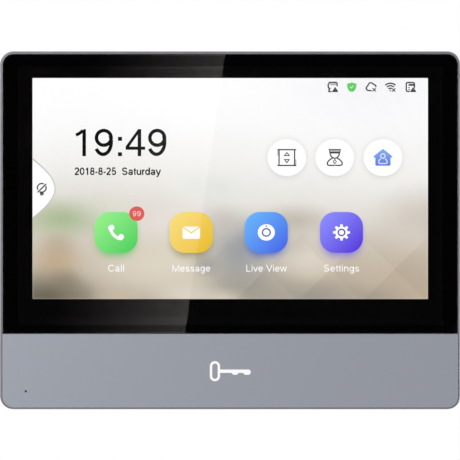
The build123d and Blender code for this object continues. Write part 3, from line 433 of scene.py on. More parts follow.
def on_screen(tree):
    """X and Z on the screen, in millimetres from the picture's centre."""
    point = split_point(tree)
    return [math_node(tree, "SUBTRACT", math_node(tree, "MULTIPLY", value, 1 / MM), middle)
            for value, middle in ((point[0], PICTURE_CENTRE.x), (point[2], PICTURE_CENTRE.y))]


GLASS_LOSS = 1.07               # the picture is this much brighter than it looks through the glass


def lit(name):
    """Picture material that only gives light; returns it, its tree and its colour's input."""
    material, tree, shader = new_material(name, (0, 0, 0, 1), 0.6)
    shader.inputs["Specular IOR Level"].default_value = 0.0
    shader.inputs["Emission Strength"].default_value = GLASS_LOSS
    return material, tree, shader.inputs["Emission Color"]


def shown(name, make_colour):
    """Picture material whose light comes from make_colour(tree)."""
    material, tree, light = lit(name)
    link(tree, make_colour(tree), light)
    return material


def ink(name, colour):
    """Evenly coloured picture material."""
    material, tree, light = lit(name)
    light.default_value = colour
    return material


def slanted(name, centre, reach, first, second, way=(1, -1)):
    """Picture material that runs from one colour to another along a direction."""
    def colour(tree):
        across, up = on_screen(tree)
        along = math_node(tree, "ADD",
                          math_node(tree, "MULTIPLY", math_node(tree, "SUBTRACT", across, centre[0]), way[0]),
                          math_node(tree, "MULTIPLY", math_node(tree, "SUBTRACT", up, centre[1]), way[1]))
        share = spread(tree, along, 0.0, 1.0, -reach, reach)
        return mix_colour(tree, share, first, second)
    return shown(name, colour)


WHITE = ink("ink_white", linear(255, 255, 255))
BLACK = ink("ink_black", linear(12, 12, 12))
DARK = ink("ink_dark", linear(28, 28, 30))

# Places of what the picture shows, in millimetres from its centre
ROUND_BUTTONS = [(32.0, 17.5), (59.1, 17.5), (86.3, 17.5)]
ROUND_R = 10.95
TILE_XS = (-64.5, -22.0, 20.4, 62.9)
TILE_Z = -24.8
TILE_W = 24.4
TILE_H = 23.1
TILE_R = 8.7
TILE_SHADOWS = (linear(122, 192, 122), linear(150, 140, 98), linear(84, 112, 184), linear(138, 128, 210))
TILE_SHADOW_DROP = 2.6
TILE_SHADOW_BLUR = TILE_R + 3.8
TILE_SHADOW_DEPTH = 1.7         # above 1, a shadow's middle is wholly its colour
ROUND_SHADOW = linear(190, 186, 180)
ROUND_SHADOW_DROP = 0.5
ROUND_SHADOW_BLUR = ROUND_R + 3.5
ROUND_SHADOW_DEPTH = 1.6


def length(tree, first, second):
    """Length of a flat vector, from its two parts."""
    squares = [math_node(tree, "MULTIPLY", part, part) for part in (first, second)]
    return math_node(tree, "SQRT", math_node(tree, "ADD", *squares))


def soft_patch(tree, base, across, up, centre, reach, colour, strength):
    """Base colour with a soft round patch of another colour laid over it."""
    away = [math_node(tree, "DIVIDE", math_node(tree, "SUBTRACT", value, middle), size)
            for value, middle, size in zip((across, up), centre, reach)]
    share = spread(tree, length(tree, *away), strength, 0.0, 0.0, 1.0, smooth=True)
    return mix_colour(tree, share, base, colour)


def soft_box(tree, base, across, up, centre, half, blur, colour, strength):
    """Base colour with the blurred shadow of a rounded box laid over it."""
    outside = []
    for value, middle, size in zip((across, up), centre, half):
        away = math_node(tree, "ABSOLUTE", math_node(tree, "SUBTRACT", value, middle))
        outside.append(math_node(tree, "MAXIMUM", math_node(tree, "SUBTRACT", away, size), 0.0))
    share = spread(tree, length(tree, *outside), strength, 0.0, 0.0, blur, smooth=True)
    return mix_colour(tree, share, base, colour)


WALL_TONES = [                  # height above the picture's centre, colour of the blurred room
    (-62.0, (178, 166, 147)), (-48.0, (200, 188, 170)), (-30.0, (212, 203, 189)),
    (-12.0, (226, 222, 215)), (8.0, (240, 239, 235)), (34.0, (252, 252, 253)), (62.0, (255, 255, 255)),
]
WALL_WOBBLE = 7.0               # how far the tones' heights wander
PATCHES = [                     # centre, reach, colour, strength
    ((75.0, 66.0), (78.0, 52.0), (243, 243, 247), 0.75),
    ((-95.0, -17.0), (36.0, 16.0), (172, 188, 150), 0.95),
    ((-74.0, -9.0), (22.0, 12.0), (208, 216, 194), 0.36),
    ((-98.0, -40.5), (20.0, 16.0), (192, 168, 136), 0.85),
    ((-104.0, -62.0), (42.0, 22.0), (110, 104, 88), 1.0),
    ((-86.0, -60.0), (14.0, 11.0), (128, 120, 104), 0.36),
    ((-44.0, -42.0), (48.0, 26.0), (219, 211, 194), 0.9),
    ((-22.0, -61.0), (30.0, 14.0), (222, 215, 200), 0.75),
    ((-8.0, 0.0), (22.0, 12.0), (225, 229, 226), 0.6),
    ((6.0, -36.0), (31.0, 31.0), (156, 159, 162), 0.97),
    ((-6.0, -19.0), (18.0, 14.0), (196, 190, 182), 0.6),
    ((12.0, -55.0), (36.0, 18.0), (156, 153, 145), 0.65),
    ((36.0, -18.0), (32.0, 12.0), (188, 181, 168), 0.8),
    ((52.0, -62.0), (46.0, 15.0), (152, 150, 144), 0.85),
    ((42.0, -40.0), (30.0, 15.0), (220, 212, 201), 0.76),
    ((100.0, -59.0), (66.0, 50.0), (186, 170, 150), 0.8),
    ((-62.0, -66.0), (22.0, 16.0), (200, 188, 166), 0.8),
    ((-6.0, -63.0), (20.0, 9.0), (210, 203, 187), 0.8),
    ((110.0, -16.0), (42.0, 24.0), (205, 195, 183), 0.8),
    ((80.0, -62.0), (26.0, 10.0), (160, 152, 140), 0.5),
    ((34.0, -30.0), (14.0, 11.0), (190, 181, 171), 0.45),
    ((-22.0, 3.0), (12.0, 10.0), (226, 232, 228), 0.5),
    ((-14.0, -43.0), (12.0, 9.0), (146, 148, 148), 0.6),
    ((-93.0, -52.0), (13.0, 10.0), (128, 117, 98), 0.45),
    ((-97.0, -31.0), (15.0, 10.0), (176, 160, 134), 0.45),
    ((-42.0, -20.0), (24.0, 16.0), (233, 227, 224), 0.5),
]
FACET = 36.3                    # width of the faint slanted facets at the lower right
FACET_EDGES = ((1.0, 11.0, 0.07), (-1.0, 29.6, 0.105))  # slant, place of an edge, how deep it is
FACETS_START = (-14.0, 8.0)     # where they fade in, from left to right
FACETS_END = (-38.0, -20.0)     # where they fade out, going up
EDGE_LINE = 0.6                 # width of the lighter line round the picture
EDGE_LIGHT = 0.08               # how much lighter it is


def blurred_room(tree, across, up):
    """Height ramp of the room's colours, with soft patches over it."""
    ramp = tree.nodes.new("ShaderNodeValToRGB")
    ramp.color_ramp.interpolation = "B_SPLINE"
    low, high = WALL_TONES[0][0], WALL_TONES[-1][0]
    stops = ramp.color_ramp.elements
    for n, (height, tone) in enumerate(WALL_TONES):
        place = (height - low) / (high - low)
        stop = stops[0] if n == 0 else (stops[len(stops) - 1] if n == len(WALL_TONES) - 1
                                        else stops.new(place))
        stop.position, stop.color = place, linear(*tone)
    wobble = spread(tree, noise(tree, 14, 2.0), -WALL_WOBBLE, WALL_WOBBLE)
    link(tree, spread(tree, math_node(tree, "ADD", up, wobble), 0.0, 1.0, low, high), ramp.inputs[0])
    colour = ramp.outputs[0]
    for centre, reach, tone, strength in PATCHES:
        colour = soft_patch(tree, colour, across, up, centre, reach, linear(*tone), strength)
    return colour


def faceted(tree, colour, across, up):
    """Colour with faint crossing facets, each of which grows lighter up to its edge."""
    here = math_node(tree, "MULTIPLY", spread(tree, across, 0.0, 1.0, *FACETS_START),
                     spread(tree, up, 1.0, 0.0, *FACETS_END))
    for sign, edge, depth in FACET_EDGES:
        along = math_node(tree, "SUBTRACT", math_node(
            tree, "ADD", across, math_node(tree, "MULTIPLY", up, sign)), edge)
        place = math_node(tree, "FRACT", math_node(tree, "DIVIDE", along, FACET))
        light = math_node(tree, "MULTIPLY", math_node(tree, "SUBTRACT", place, 0.5), depth)
        tone = math_node(tree, "ADD", math_node(tree, "MULTIPLY", light, here), 1.0)
        colour = mix_colour(tree, 1.0, colour, tone, "MULTIPLY")
    return colour


def wallpaper_colour(tree):
    """Blurred bright room with the soft shadows of the buttons and tiles, and a lighter rim."""
    across, up = on_screen(tree)
    colour = faceted(tree, blurred_room(tree, across, up), across, up)
    for x, z in ROUND_BUTTONS:
        colour = soft_box(tree, colour, across, up, (x, z - ROUND_SHADOW_DROP), (0.0, 0.0),
                          ROUND_SHADOW_BLUR, ROUND_SHADOW, ROUND_SHADOW_DEPTH)
    half = (TILE_W / 2 - TILE_R - 0.6, TILE_H / 2 - TILE_R)
    for x, tone in zip(TILE_XS, TILE_SHADOWS):
        colour = soft_box(tree, colour, across, up, (x, TILE_Z - TILE_SHADOW_DROP), half,
                          TILE_SHADOW_BLUR, tone, TILE_SHADOW_DEPTH)
    outer_x = math_node(tree, "SUBTRACT", math_node(tree, "ABSOLUTE", across), PICTURE_W / 2 - EDGE_LINE)
    outer_z = math_node(tree, "SUBTRACT", math_node(tree, "ABSOLUTE", up), PICTURE_H / 2 - EDGE_LINE)
    outer = math_node(tree, "MAXIMUM", outer_x, outer_z)
    return mix_colour(tree, spread(tree, outer, 0.0, EDGE_LIGHT, -0.1, 0.1), colour, (1, 1, 1, 1))


picture = Drawing("screen_picture")
picture.fill([rounded((0, 0), PICTURE_W, PICTURE_H, PICTURE_R)], shown("wallpaper", wallpaper_colour), 0)
picture.finish()

# ---- Black printed border behind the glass ------------------------------------------
GLASS_TOP_R = 6.05              # the glass's corners
GLASS_BOTTOM_R = 0.6
PRINT_INSET = 0.05              # from the glass's edge to the print's
PRINT_LIFT = 0.02               # thickness of the print, and its distance from the glass


def printed_border():
    """Black print on the glass's back, with a window for the picture."""
    material = surface("border_ink", (0.0012, 0.0010, 0.0010, 1), (0.0016, 0.0013, 0.0013, 1), 0.6)
    material.node_tree.nodes["Principled BSDF"].inputs["Specular IOR Level"].default_value = 0.0
    glass_low, glass_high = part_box("cover_glass")
    left, right = glass_low.x / MM + PRINT_INSET, glass_high.x / MM - PRINT_INSET
    low, high = glass_low.z / MM + PRINT_INSET, glass_high.z / MM - PRINT_INSET
    outline = []
    for x, z, radius, start, steps in (
            (right - GLASS_TOP_R, high - GLASS_TOP_R, GLASS_TOP_R, 0, 12),
            (left + GLASS_TOP_R, high - GLASS_TOP_R, GLASS_TOP_R, 90, 12),
            (left + GLASS_BOTTOM_R, low + GLASS_BOTTOM_R, GLASS_BOTTOM_R, 180, 4),
            (right - GLASS_BOTTOM_R, low + GLASS_BOTTOM_R, GLASS_BOTTOM_R, 270, 4)):
        outline += arc((x, z), radius, radius, start, start + 90, steps)
    window = rounded(PICTURE_CENTRE, PICTURE_W, PICTURE_H, PICTURE_R)[::-1]
    border = Drawing("glass_border_print")
    border.fill([outline, window], material, 0, PRINT_LIFT, Vector((0, 0)),
                glass_high.y + 2 * PRINT_LIFT * MM)
    border.finish()


printed_border()


# ---- Clock and date -----------------------------------------------------------------
CLOCK_LOW = 18.3
CLOCK_H = 15.3
CLOCK_STROKE = 2.0


def digit_one(drawing, right):
    """Upright bar with a curved flag."""
    top, left = CLOCK_LOW + CLOCK_H, right - CLOCK_STROKE
    drawing.fill([points((left, CLOCK_LOW), (right, CLOCK_LOW), (right, top), (right - 1.3, top),
                         (left, top - 1.2))], BLACK, 1)
    flag = arc((right - 8.0, top + 4.2), 7.9, 7.9, -38, -73, 10)
    drawing.stroke(flag, 1.8, BLACK, 2)


def digit_four(drawing, left):
    """Slanted stroke, crossbar and upright."""
    top, low = CLOCK_LOW + CLOCK_H, CLOCK_LOW
    bar_low, bar_high, post, edge = low + 3.6, low + 5.4, left + 6.8, left + 8.8
    outline = points((post, low), (edge, low), (edge, bar_low), (left + 11.0, bar_low),
                     (left + 11.0, bar_high), (edge, bar_high), (edge, top), (post + 0.25, top),
                     (left, bar_high + 0.1), (left, bar_low), (post, bar_low))
    hole = points((post, bar_high), (left + 2.05, bar_high), (post, top - 3.1))
    drawing.fill([outline, hole], BLACK, 1)


def digit_nine(drawing, left):
    """Round bowl with a stem that curls under it."""
    middle, top = left + 5.2, CLOCK_LOW + CLOCK_H + 0.2
    bowl = (middle - 0.05, top - 5.15)
    drawing.stroke(arc(bowl, 4.15, 4.15, 0, 360, 48)[:-1], CLOCK_STROKE, BLACK, 1, closed=True)
    stem = arc((middle - 0.45, top - 7.5), 4.6, 6.95, 30, -147, 40)
    drawing.stroke(stem, CLOCK_STROKE, BLACK, 2)


clock = Drawing("clock_digits")
digit_one(clock, -81.55)
digit_nine(clock, -76.6)
for dot_z in (CLOCK_LOW + 1.1, CLOCK_LOW + 9.8):
    clock.fill([rounded((-62.3, dot_z), 2.3, 2.2, 0.1)], BLACK, 1)
digit_four(clock, -59.1)
digit_nine(clock, -46.4)
clock.finish()


# Plain upright letters: advance width, and strokes on a grid whose capitals are 1 high
LETTERS = {
    " ": (0.39, []),
    "-": (0.46, [points((0.07, 0.36), (0.39, 0.36))]),
    "0": (0.77, [arc((0.385, 0.5), 0.265, 0.435, 0, 352, 30)]),
    "1": (0.77, [points((0.44, 0.0), (0.44, 1.0)), points((0.44, 0.90), (0.33, 0.79), (0.19, 0.73))]),
    "2": (0.77, [arc((0.375, 0.69), 0.245, 0.245, 170, -32, 16)
                 + points((0.34, 0.31), (0.20, 0.18), (0.13, 0.06)),
                 points((0.07, 0.065), (0.66, 0.065))]),
    "5": (0.77, [points((0.62, 0.935), (0.235, 0.935), (0.165, 0.49))
                 + arc((0.37, 0.33), 0.27, 0.265, 135, -150, 20)]),
    "8": (0.77, [arc((0.385, 0.725), 0.2, 0.21, 0, 350, 24), arc((0.385, 0.29), 0.255, 0.225, 0, 350, 24)]),
    "9": (0.77, [arc((0.37, 0.66), 0.24, 0.275, 0, 350, 24), arc((0.365, 0.5), 0.26, 0.435, 25, -145, 20)]),
    "C": (1.01, [arc((0.52, 0.5), 0.4, 0.435, 40, 320, 26)]),
    "L": (0.77, [points((0.16, 1.0), (0.16, 0.065), (0.68, 0.065))]),
    "M": (1.16, [points((0.14, 0.0), (0.14, 0.93), (0.58, 0.07), (1.02, 0.93), (1.02, 0.0))]),
    "S": (0.93, [arc((0.455, 0.715), 0.275, 0.22, 12, 245, 18)
                 + arc((0.465, 0.28), 0.3, 0.215, 62, -168, 18)]),
    "V": (0.93, [points((0.05, 1.0), (0.465, 0.06), (0.88, 1.0))]),
    "a": (0.77, [arc((0.36, 0.5), 0.22, 0.163, 165, 0, 12) + points((0.58, 0.12), (0.66, 0.05)),
                 arc((0.345, 0.215), 0.215, 0.15, 0, 350, 20)]),
    "d": (0.77, [arc((0.35, 0.36), 0.235, 0.3, 0, 350, 24), points((0.62, 0.0), (0.62, 1.0))]),
    "e": (0.77, [arc((0.385, 0.364), 0.265, 0.3, 0, 322, 24), points((0.12, 0.37), (0.66, 0.37))]),
    "g": (0.77, [arc((0.35, 0.38), 0.235, 0.285, 0, 350, 24),
                 points((0.62, 0.728), (0.62, 0.0)) + arc((0.37, -0.03), 0.25, 0.185, -6, -150, 14)]),
    "i": (0.31, [points((0.155, 0.0), (0.155, 0.728)), points((0.155, 0.87), (0.155, 1.0))]),
    "l": (0.31, [points((0.155, 0.0), (0.155, 1.0))]),
    "n": (0.77, [points((0.14, 0.0), (0.14, 0.728)),
                 arc((0.38, 0.44), 0.24, 0.223, 170, 0, 14) + points((0.62, 0.0))]),
    "r": (0.46, [points((0.14, 0.0), (0.14, 0.728)), arc((0.40, 0.40), 0.25, 0.263, 165, 85, 8)]),
    "s": (0.70, [arc((0.345, 0.51), 0.2, 0.153, 15, 245, 14) + arc((0.35, 0.215), 0.22, 0.15, 62, -168, 14)]),
    "t": (0.39, [points((0.19, 0.88), (0.19, 0.18)) + arc((0.30, 0.18), 0.11, 0.115, 200, 275, 5),
                 points((0.03, 0.663), (0.35, 0.663))]),
    "u": (0.77, [points((0.14, 0.728)) + arc((0.375, 0.28), 0.235, 0.215, 180, 350, 14),
                 points((0.62, 0.0), (0.62, 0.728))]),
    "v": (0.70, [points((0.06, 0.728), (0.35, 0.05), (0.64, 0.728))]),
    "w": (1.01, [points((0.06, 0.728), (0.28, 0.06), (0.505, 0.68), (0.73, 0.06), (0.95, 0.728))]),
    "y": (0.70, [points((0.05, 0.728), (0.36, 0.02)),
                 points((0.65, 0.728), (0.37, 0.0), (0.29, -0.15), (0.2, -0.215), (0.09, -0.2))]),
}


def letter(drawing, character, left, low, stretch, cap, weight, material, level):
    """Draw one character; returns how far the next one stands from it."""
    advance, strokes = LETTERS[character]
    for n, path in enumerate(strokes):
        placed = [Vector((left + p.x * stretch, low + p.y * cap)) for p in path]
        drawing.stroke(placed, weight, material, level + n)
    return advance * stretch


def words(name, text, left, low, width, cap, weight, material, level=2):
    """Line of plain lettering that fills a width, as one flat piece."""
    stretch = width / (sum(LETTERS[c][0] for c in text) - 0.14)
    drawing = Drawing(name)
    pen = left - 0.07 * stretch
    for character in text:
        pen += letter(drawing, character, pen, low, stretch, cap, weight, material, level)
    drawing.finish()


DATE_LOW = 7.7
DATE_CAP = 4.15                 # height of its capitals
DATE_WEIGHT = 0.74              # width of its strokes
DATE_INK = ink("ink_date", linear(10, 10, 12))
words("date_digits", "2018-8-25", -87.8, DATE_LOW, 23.2, DATE_CAP, DATE_WEIGHT, DATE_INK)
words("date_weekday", "Saturday", -61.2, DATE_LOW, 21.7, DATE_CAP, DATE_WEIGHT, DATE_INK)


# ---- Round buttons ------------------------------------------------------------------
ICON_LINE = 0.68                # width of the icons' lines
SOFT_GREY = ink("ink_soft_grey", linear(172, 172, 172))


def triangle(centre, width, height):
    """Triangle that points up, or down if its height is negative."""
    return points((centre[0] - width / 2, centre[1] - height / 2),
                  (centre[0] + width / 2, centre[1] - height / 2), (centre[0], centre[1] + height / 2))


def lift_icon(drawing, centre):
    """Lift car: a framed square with an up and a down arrow."""
    x, z = centre
    for side in (-1, 1):
        drawing.stroke(points((x + side * 4.4, z - 4.3), (x + side * 4.4, z + 4.3)), ICON_LINE, DARK, 3)
        drawing.stroke(points((x - 5.3, z + side * 4.45), (x + 5.3, z + side * 4.45)), ICON_LINE, DARK, 4)
        drawing.stroke(triangle((x, z + side * 2.0), 2.7, side * 1.7), 0.5, DARK, 3, closed=True)
        drawing.fill([rounded((x + side * 5.1, z - side * 2.7), 0.5, 3.2, 0.1)], SOFT_GREY, 3)


def concierge_icon(drawing, centre):
    """Bust of a doorkeeper with a flat cap and a tie."""
    x, z = centre
    cap = points((x - 3.2, z + 4.6), (x + 3.2, z + 4.6), (x + 2.8, z + 2.9), (x - 2.8, z + 2.9))
    drawing.fill([cap], SOFT_GREY, 3)
    drawing.stroke(cap, 0.45, DARK, 4, closed=True)
    drawing.stroke(points((x - 3.1, z + 2.6), (x + 3.1, z + 2.6)), 0.6, DARK, 5)
    drawing.stroke(arc((x, z + 2.4), 2.55, 2.75, 184, 356, 18), ICON_LINE, DARK, 4)
    for side in (-1, 1):
        shoulder = [Vector((x + side * dx, z + dz)) for dx, dz in (
            (1.3, -0.4), (2.4, -0.9), (3.5, -1.8), (4.2, -3.0), (4.1, -4.0), (3.3, -4.4), (0.1, -4.4))]
        drawing.stroke(shoulder, ICON_LINE, DARK, 3 if side < 0 else 4)
    drawing.stroke(points((x, z - 1.0), (x + 0.85, z - 2.3), (x, z - 3.5), (x - 0.85, z - 2.3)),
                   0.45, DARK, 5, closed=True)


def house_icon(drawing, centre):
    """Blue house with a white outline of a person in it."""
    x, z = centre
    blue = slanted("house_blue", centre, 5.0, linear(134, 174, 242), linear(92, 120, 224), (0, -1))
    line = ink("house_line", linear(232, 238, 255))
    roof = points((x, z + 5.0), (x + 5.4, z + 0.6), (x + 5.0, z), (x - 5.0, z), (x - 5.4, z + 0.6))
    drawing.fill([roof], blue, 3)
    drawing.fill([rounded((x, z - 2.1), 8.6, 5.0, 0.8)], blue, 4)
    drawing.stroke(circle((x, z + 0.9), 1.3, 24), 0.55, line, 5, closed=True)
    body = arc((x, z - 2.5), 2.4, 2.0, 120, 180, 6) + arc((x - 1.7, z - 2.65), 0.7, 0.7, 180, 270, 4)
    body += arc((x + 1.7, z - 2.65), 0.7, 0.7, 270, 360, 4) + arc((x, z - 2.5), 2.4, 2.0, 0, 60, 6)
    drawing.stroke(body, 0.55, line, 5)


for name, centre, icon in zip(("lift", "concierge", "house"), ROUND_BUTTONS,
                              (lift_icon, concierge_icon, house_icon)):
    button = Drawing("button_" + name)
    button.fill([circle(centre, ROUND_R, 72)], WHITE, 1)
    icon(button, centre)
    button.finish()


# ---- App tiles ----------------------------------------------------------------------
def call_glyph(drawing, centre, tile):
    """Telephone handset lying on a slant."""
    x, z = centre
    drawing.stroke(arc((x + 4.5, z + 3.9), 7.9, 7.9, 194, 251, 16), 1.75, WHITE, 3)
    for side, level in ((-1, 4), (1, 5)):
        end = (x + side * 2.75, z - side * 2.65)
        drawing.fill([turned(rounded(end, 3.5, 3.0, 1.25), end, 45 + side * 12)], WHITE, level)


def message_glyph(drawing, centre, tile):
    """Closed envelope."""
    x, z = centre
    drawing.fill([rounded((x, z - 0.15), 9.9, 6.8, 0.9)], WHITE, 3)
    drawing.stroke(points((x - 4.7, z + 3.0), (x, z - 0.3), (x + 4.7, z + 3.0)), 0.75, tile, 4)


def view_glyph(drawing, centre, tile):
    """Round camera with its lens ring."""
    x, z = centre
    deep = ink("lens_ring", linear(50, 86, 172))
    drawing.fill([circle(centre, 4.85)], WHITE, 3)
    drawing.stroke(circle(centre, 2.2, 40), 0.75, deep, 4, closed=True)
    drawing.fill([circle((x, z + 3.5), 0.42, 16)], deep, 4)


def settings_glyph(drawing, centre, tile):
    """Gear with eight teeth and a round hub."""
    x, z = centre
    teeth, outline = 8, []
    for n in range(teeth):
        middle = n * 360 / teeth + 90
        outline += [polar(centre, reach, reach * SQUASH, middle + turn)
                    for reach, turn in ((3.5, -13), (4.85, -8), (4.85, 8), (3.5, 13), (3.45, 22.5))]
    drawing.fill([outline], WHITE, 3)
    drawing.stroke(circle(centre, 1.85, 36), 0.75, ink("gear_ring", linear(70, 52, 160)), 4, closed=True)


TILES = [
    ("call", call_glyph, (148, 240, 138), (72, 208, 92)),
    ("message", message_glyph, (247, 218, 116), (234, 190, 44)),
    ("live_view", view_glyph, (104, 178, 252), (74, 104, 234)),
    ("settings", settings_glyph, (140, 140, 254), (88, 56, 222)),
]
LABELS = [("Call", 9.1), ("Message", 21.4), ("Live View", 22.8), ("Settings", 20.0)]
LABEL_LOW = -47.0
LABEL_CAP = 4.0
LABEL_WEIGHT = 0.47
for tile_x, (name, glyph, first, second), (label, width) in zip(TILE_XS, TILES, LABELS):
    centre = (tile_x, TILE_Z)
    tile_face = slanted("tile_" + name, centre, TILE_W * 0.8, linear(*first), linear(*second))
    tile = Drawing("app_" + name)
    tile.fill([rounded(centre, TILE_W, TILE_H, TILE_R, 2.05, 16)], tile_face, 2)
    glyph(tile, centre, tile_face)
    tile.finish()
    words("label_" + name, label, tile_x - width / 2, LABEL_LOW, width, LABEL_CAP, LABEL_WEIGHT, WHITE)

BADGE = (-52.8, -14.2)
badge = Drawing("call_badge")
badge.fill([circle(BADGE, 4.3)], ink("badge_red", linear(222, 90, 85)), 4)
badge.finish()
words("badge_count", "99", BADGE[0] - 2.3, BADGE[1] - 1.5, 4.6, 3.0, 0.3,
      ink("badge_white", linear(252, 228, 225)), 6)


# ---- Status icons -------------------------------------------------------------------
STATUS_Z = 57.4
STATUS_LINE = 0.74              # width of the icons' lines


def warning(drawing, centre):
    """Small solid warning triangle, kept clear of what it stands over."""
    x, z = centre
    drawing.fill([triangle((x, z + 0.1), 4.7, 3.8)], ink("status_gap", linear(247, 247, 249)), 5)
    drawing.fill([triangle(centre, 3.6, 2.9)], DARK, 6)
    drawing.stroke(points((x, z - 0.6), (x, z + 0.3)), 0.28, SOFT_GREY, 7)


def cross(drawing, centre):
    """Small cross for a missing connection."""
    x, z = centre
    for side in (-1, 1):
        drawing.stroke(points((x - 0.95, z - side * 0.95), (x + 0.95, z + side * 0.95)), 0.55, DARK,
                       5 if side < 0 else 6)


def card_status(drawing, x, z):
    """Memory card with a warning."""
    drawing.stroke(points((x + 0.2, z - 2.6), (x - 2.1, z - 2.6), (x - 2.1, z - 1.5), (x - 1.6, z - 0.9),
                          (x - 2.5, z - 0.3), (x - 2.5, z + 1.6), (x - 1.7, z + 2.6), (x + 1.9, z + 2.6),
                          (x + 2.5, z + 2.0), (x + 2.5, z + 0.4)),
                   STATUS_LINE, DARK, 3)
    drawing.fill([rounded((x + 0.2, z + 1.5), 3.4, 1.0, 0.2)], SOFT_GREY, 3)
    warning(drawing, (x + 1.4, z - 1.4))


def shield_status(drawing, x, z):
    """Green shield with a tick."""
    outline = points((x, z + 2.6), (x + 1.2, z + 2.1), (x + 2.6, z + 2.0))
    outline += arc((x - 1.6, z + 0.9), 4.2, 4.4, 2, -58, 10) + [Vector((x, z - 2.5))]
    mirror = [Vector((2 * x - p.x, p.y)) for p in outline[1:-1]][::-1]
    drawing.fill([outline + mirror], ink("shield_green", linear(98, 206, 98)), 3)
    drawing.stroke(points((x - 1.0, z + 0.1), (x - 0.3, z - 0.6), (x + 1.0, z + 0.8)), 0.45,
                   ink("shield_tick", linear(222, 246, 222)), 4)


def cloud_status(drawing, x, z):
    """Cloud outline with a cross."""
    path = arc((x - 1.5, z - 0.7), 1.3, 1.3, 270, 120, 10)
    path += arc((x - 0.2, z + 0.9), 1.5, 1.5, 165, 25, 10)
    path += arc((x + 1.6, z + 0.3), 1.0, 1.0, 80, -20, 6)
    drawing.stroke(path, STATUS_LINE, DARK, 3)
    drawing.stroke(points((x - 1.5, z - 2.0), (x + 0.2, z - 2.0)), STATUS_LINE, DARK, 4)
    cross(drawing, (x + 1.7, z - 1.6))


def wireless_status(drawing, x, z):
    """Wireless waves with a cross."""
    for n, radius in enumerate((1.5, 2.9, 4.3)):
        wave = arc((x - 0.2, z - 2.2), radius, radius, 132, 48 if n else 60, 12)
        drawing.stroke(wave, STATUS_LINE, DARK, 3)
    drawing.fill([circle((x - 0.2, z - 2.1), 0.42, 16)], DARK, 3)
    cross(drawing, (x + 1.7, z - 1.7))


def panel_status(drawing, x, z):
    """Door station panel with a warning."""
    drawing.stroke(rounded((x - 0.1, z), 4.6, 5.1, 0.9, steps=4), STATUS_LINE, DARK, 3, closed=True)
    drawing.fill([rounded((x + 0.4, z + 1.2), 3.0, 1.2, 0.2)], DARK, 4)
    for dot_x in (-0.3, 1.1):
        drawing.fill([circle((x + dot_x, z + 1.2), 0.32, 12)], SOFT_GREY, 5)
    for dot_z in (-0.3, -1.5):
        drawing.fill([rounded((x - 0.8, z + dot_z), 0.8, 0.6, 0.1)], DARK, 4)
    warning(drawing, (x + 1.5, z - 1.4))


for name, x, icon in (("memory_card", 57.9, card_status), ("shield", 68.7, shield_status),
                      ("cloud", 79.7, cloud_status), ("wireless", 90.7, wireless_status),
                      ("door_panel", 101.9, panel_status)):
    status = Drawing("status_" + name)
    icon(status, x, STATUS_Z)
    status.finish()


# ---- Pull-out tab at the left edge --------------------------------------------------
TAB_PEAK = 12.4                 # how far it reaches into the picture
TAB_HALF = 16.4                 # half of its height
TAB_FOOT = -PICTURE_W / 2 + 0.05        # just inside the picture's left edge
TAB_SHADOW = 0.55               # width of the grey line round the tab


def tab_edge(grow=0.0):
    """Bell-shaped edge of the tab, from its foot to its head."""
    steps, edge = 40, []
    for n in range(steps + 1):
        height = -1 + 2 * n / steps
        reach = cos(pi / 2 * height) * TAB_PEAK
        edge.append(Vector((TAB_FOOT + reach + grow, height * (TAB_HALF + grow))))
    return edge


tab = Drawing("side_tab")
tab.fill([tab_edge(TAB_SHADOW) + points((TAB_FOOT, TAB_HALF), (TAB_FOOT, -TAB_HALF))],
         ink("tab_shadow", linear(194, 194, 188)), 1)
tab.fill([tab_edge()], WHITE, 2)
TAB_ICON = (-106.5, 0.4)
for start, end in ((62, 208), (242, 388)):
    tab.stroke(arc(TAB_ICON, 2.45, 2.45, start, end, 20), 0.72, DARK, 3)
tab.stroke(points((TAB_ICON[0] - 2.4, TAB_ICON[1] - 2.6), (TAB_ICON[0] + 2.6, TAB_ICON[1] + 2.3)),
           0.68, DARK, 4)
tab.fill([arc((TAB_ICON[0], TAB_ICON[1] - 3.1), 1.15, 1.3, 160, 380, 16)],
         ink("ink_bell", linear(96, 96, 98)), 5)
tab.finish()

# ---- Stage: floor, light, reflected studio and camera --------------------------------
VIEW_CENTRE = Vector((-0.17 * MM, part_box("cover_glass")[0].y, 0.17 * MM))
VIEW_WIDTH = 259.5 * MM
LENS, SENSOR = 150.0, 36.0
CLIP = (0.05, 20.0)
CAMERA_AWAY = VIEW_WIDTH / 2 / (SENSOR / 2 / LENS)
FLOOR_DROP = 1.8
FLOOR_R = 4.5
FLOOR_FADE = (0.3, 0.95)        # shares of the radius between which it fades out


def floor():
    """Pale round floor well below the monitor, that fades out towards its rim."""
    material = surface("floor_paint", (0.86, 0.86, 0.86, 1), (0.88, 0.88, 0.88, 1), 0.7)
    tree = material.node_tree
    away = tree.nodes.new("ShaderNodeVectorMath")
    away.operation = "LENGTH"
    link(tree, object_point(tree), away.inputs[0])
    link(tree, spread(tree, away.outputs["Value"], 1.0, 0.0, FLOOR_FADE[0] * FLOOR_R,
                      FLOOR_FADE[1] * FLOOR_R, smooth=True),
         tree.nodes["Principled BSDF"].inputs["Alpha"])
    mesh = bmesh.new()
    bmesh.ops.create_circle(mesh, cap_ends=True, segments=96, radius=FLOOR_R)
    data = bpy.data.meshes.new("floor")
    mesh.to_mesh(data)
    mesh.free()
    data.materials.append(material)
    disc = add_object("floor", data)
    disc.location.z = CAD_BOX[0].z - FLOOR_DROP


floor()

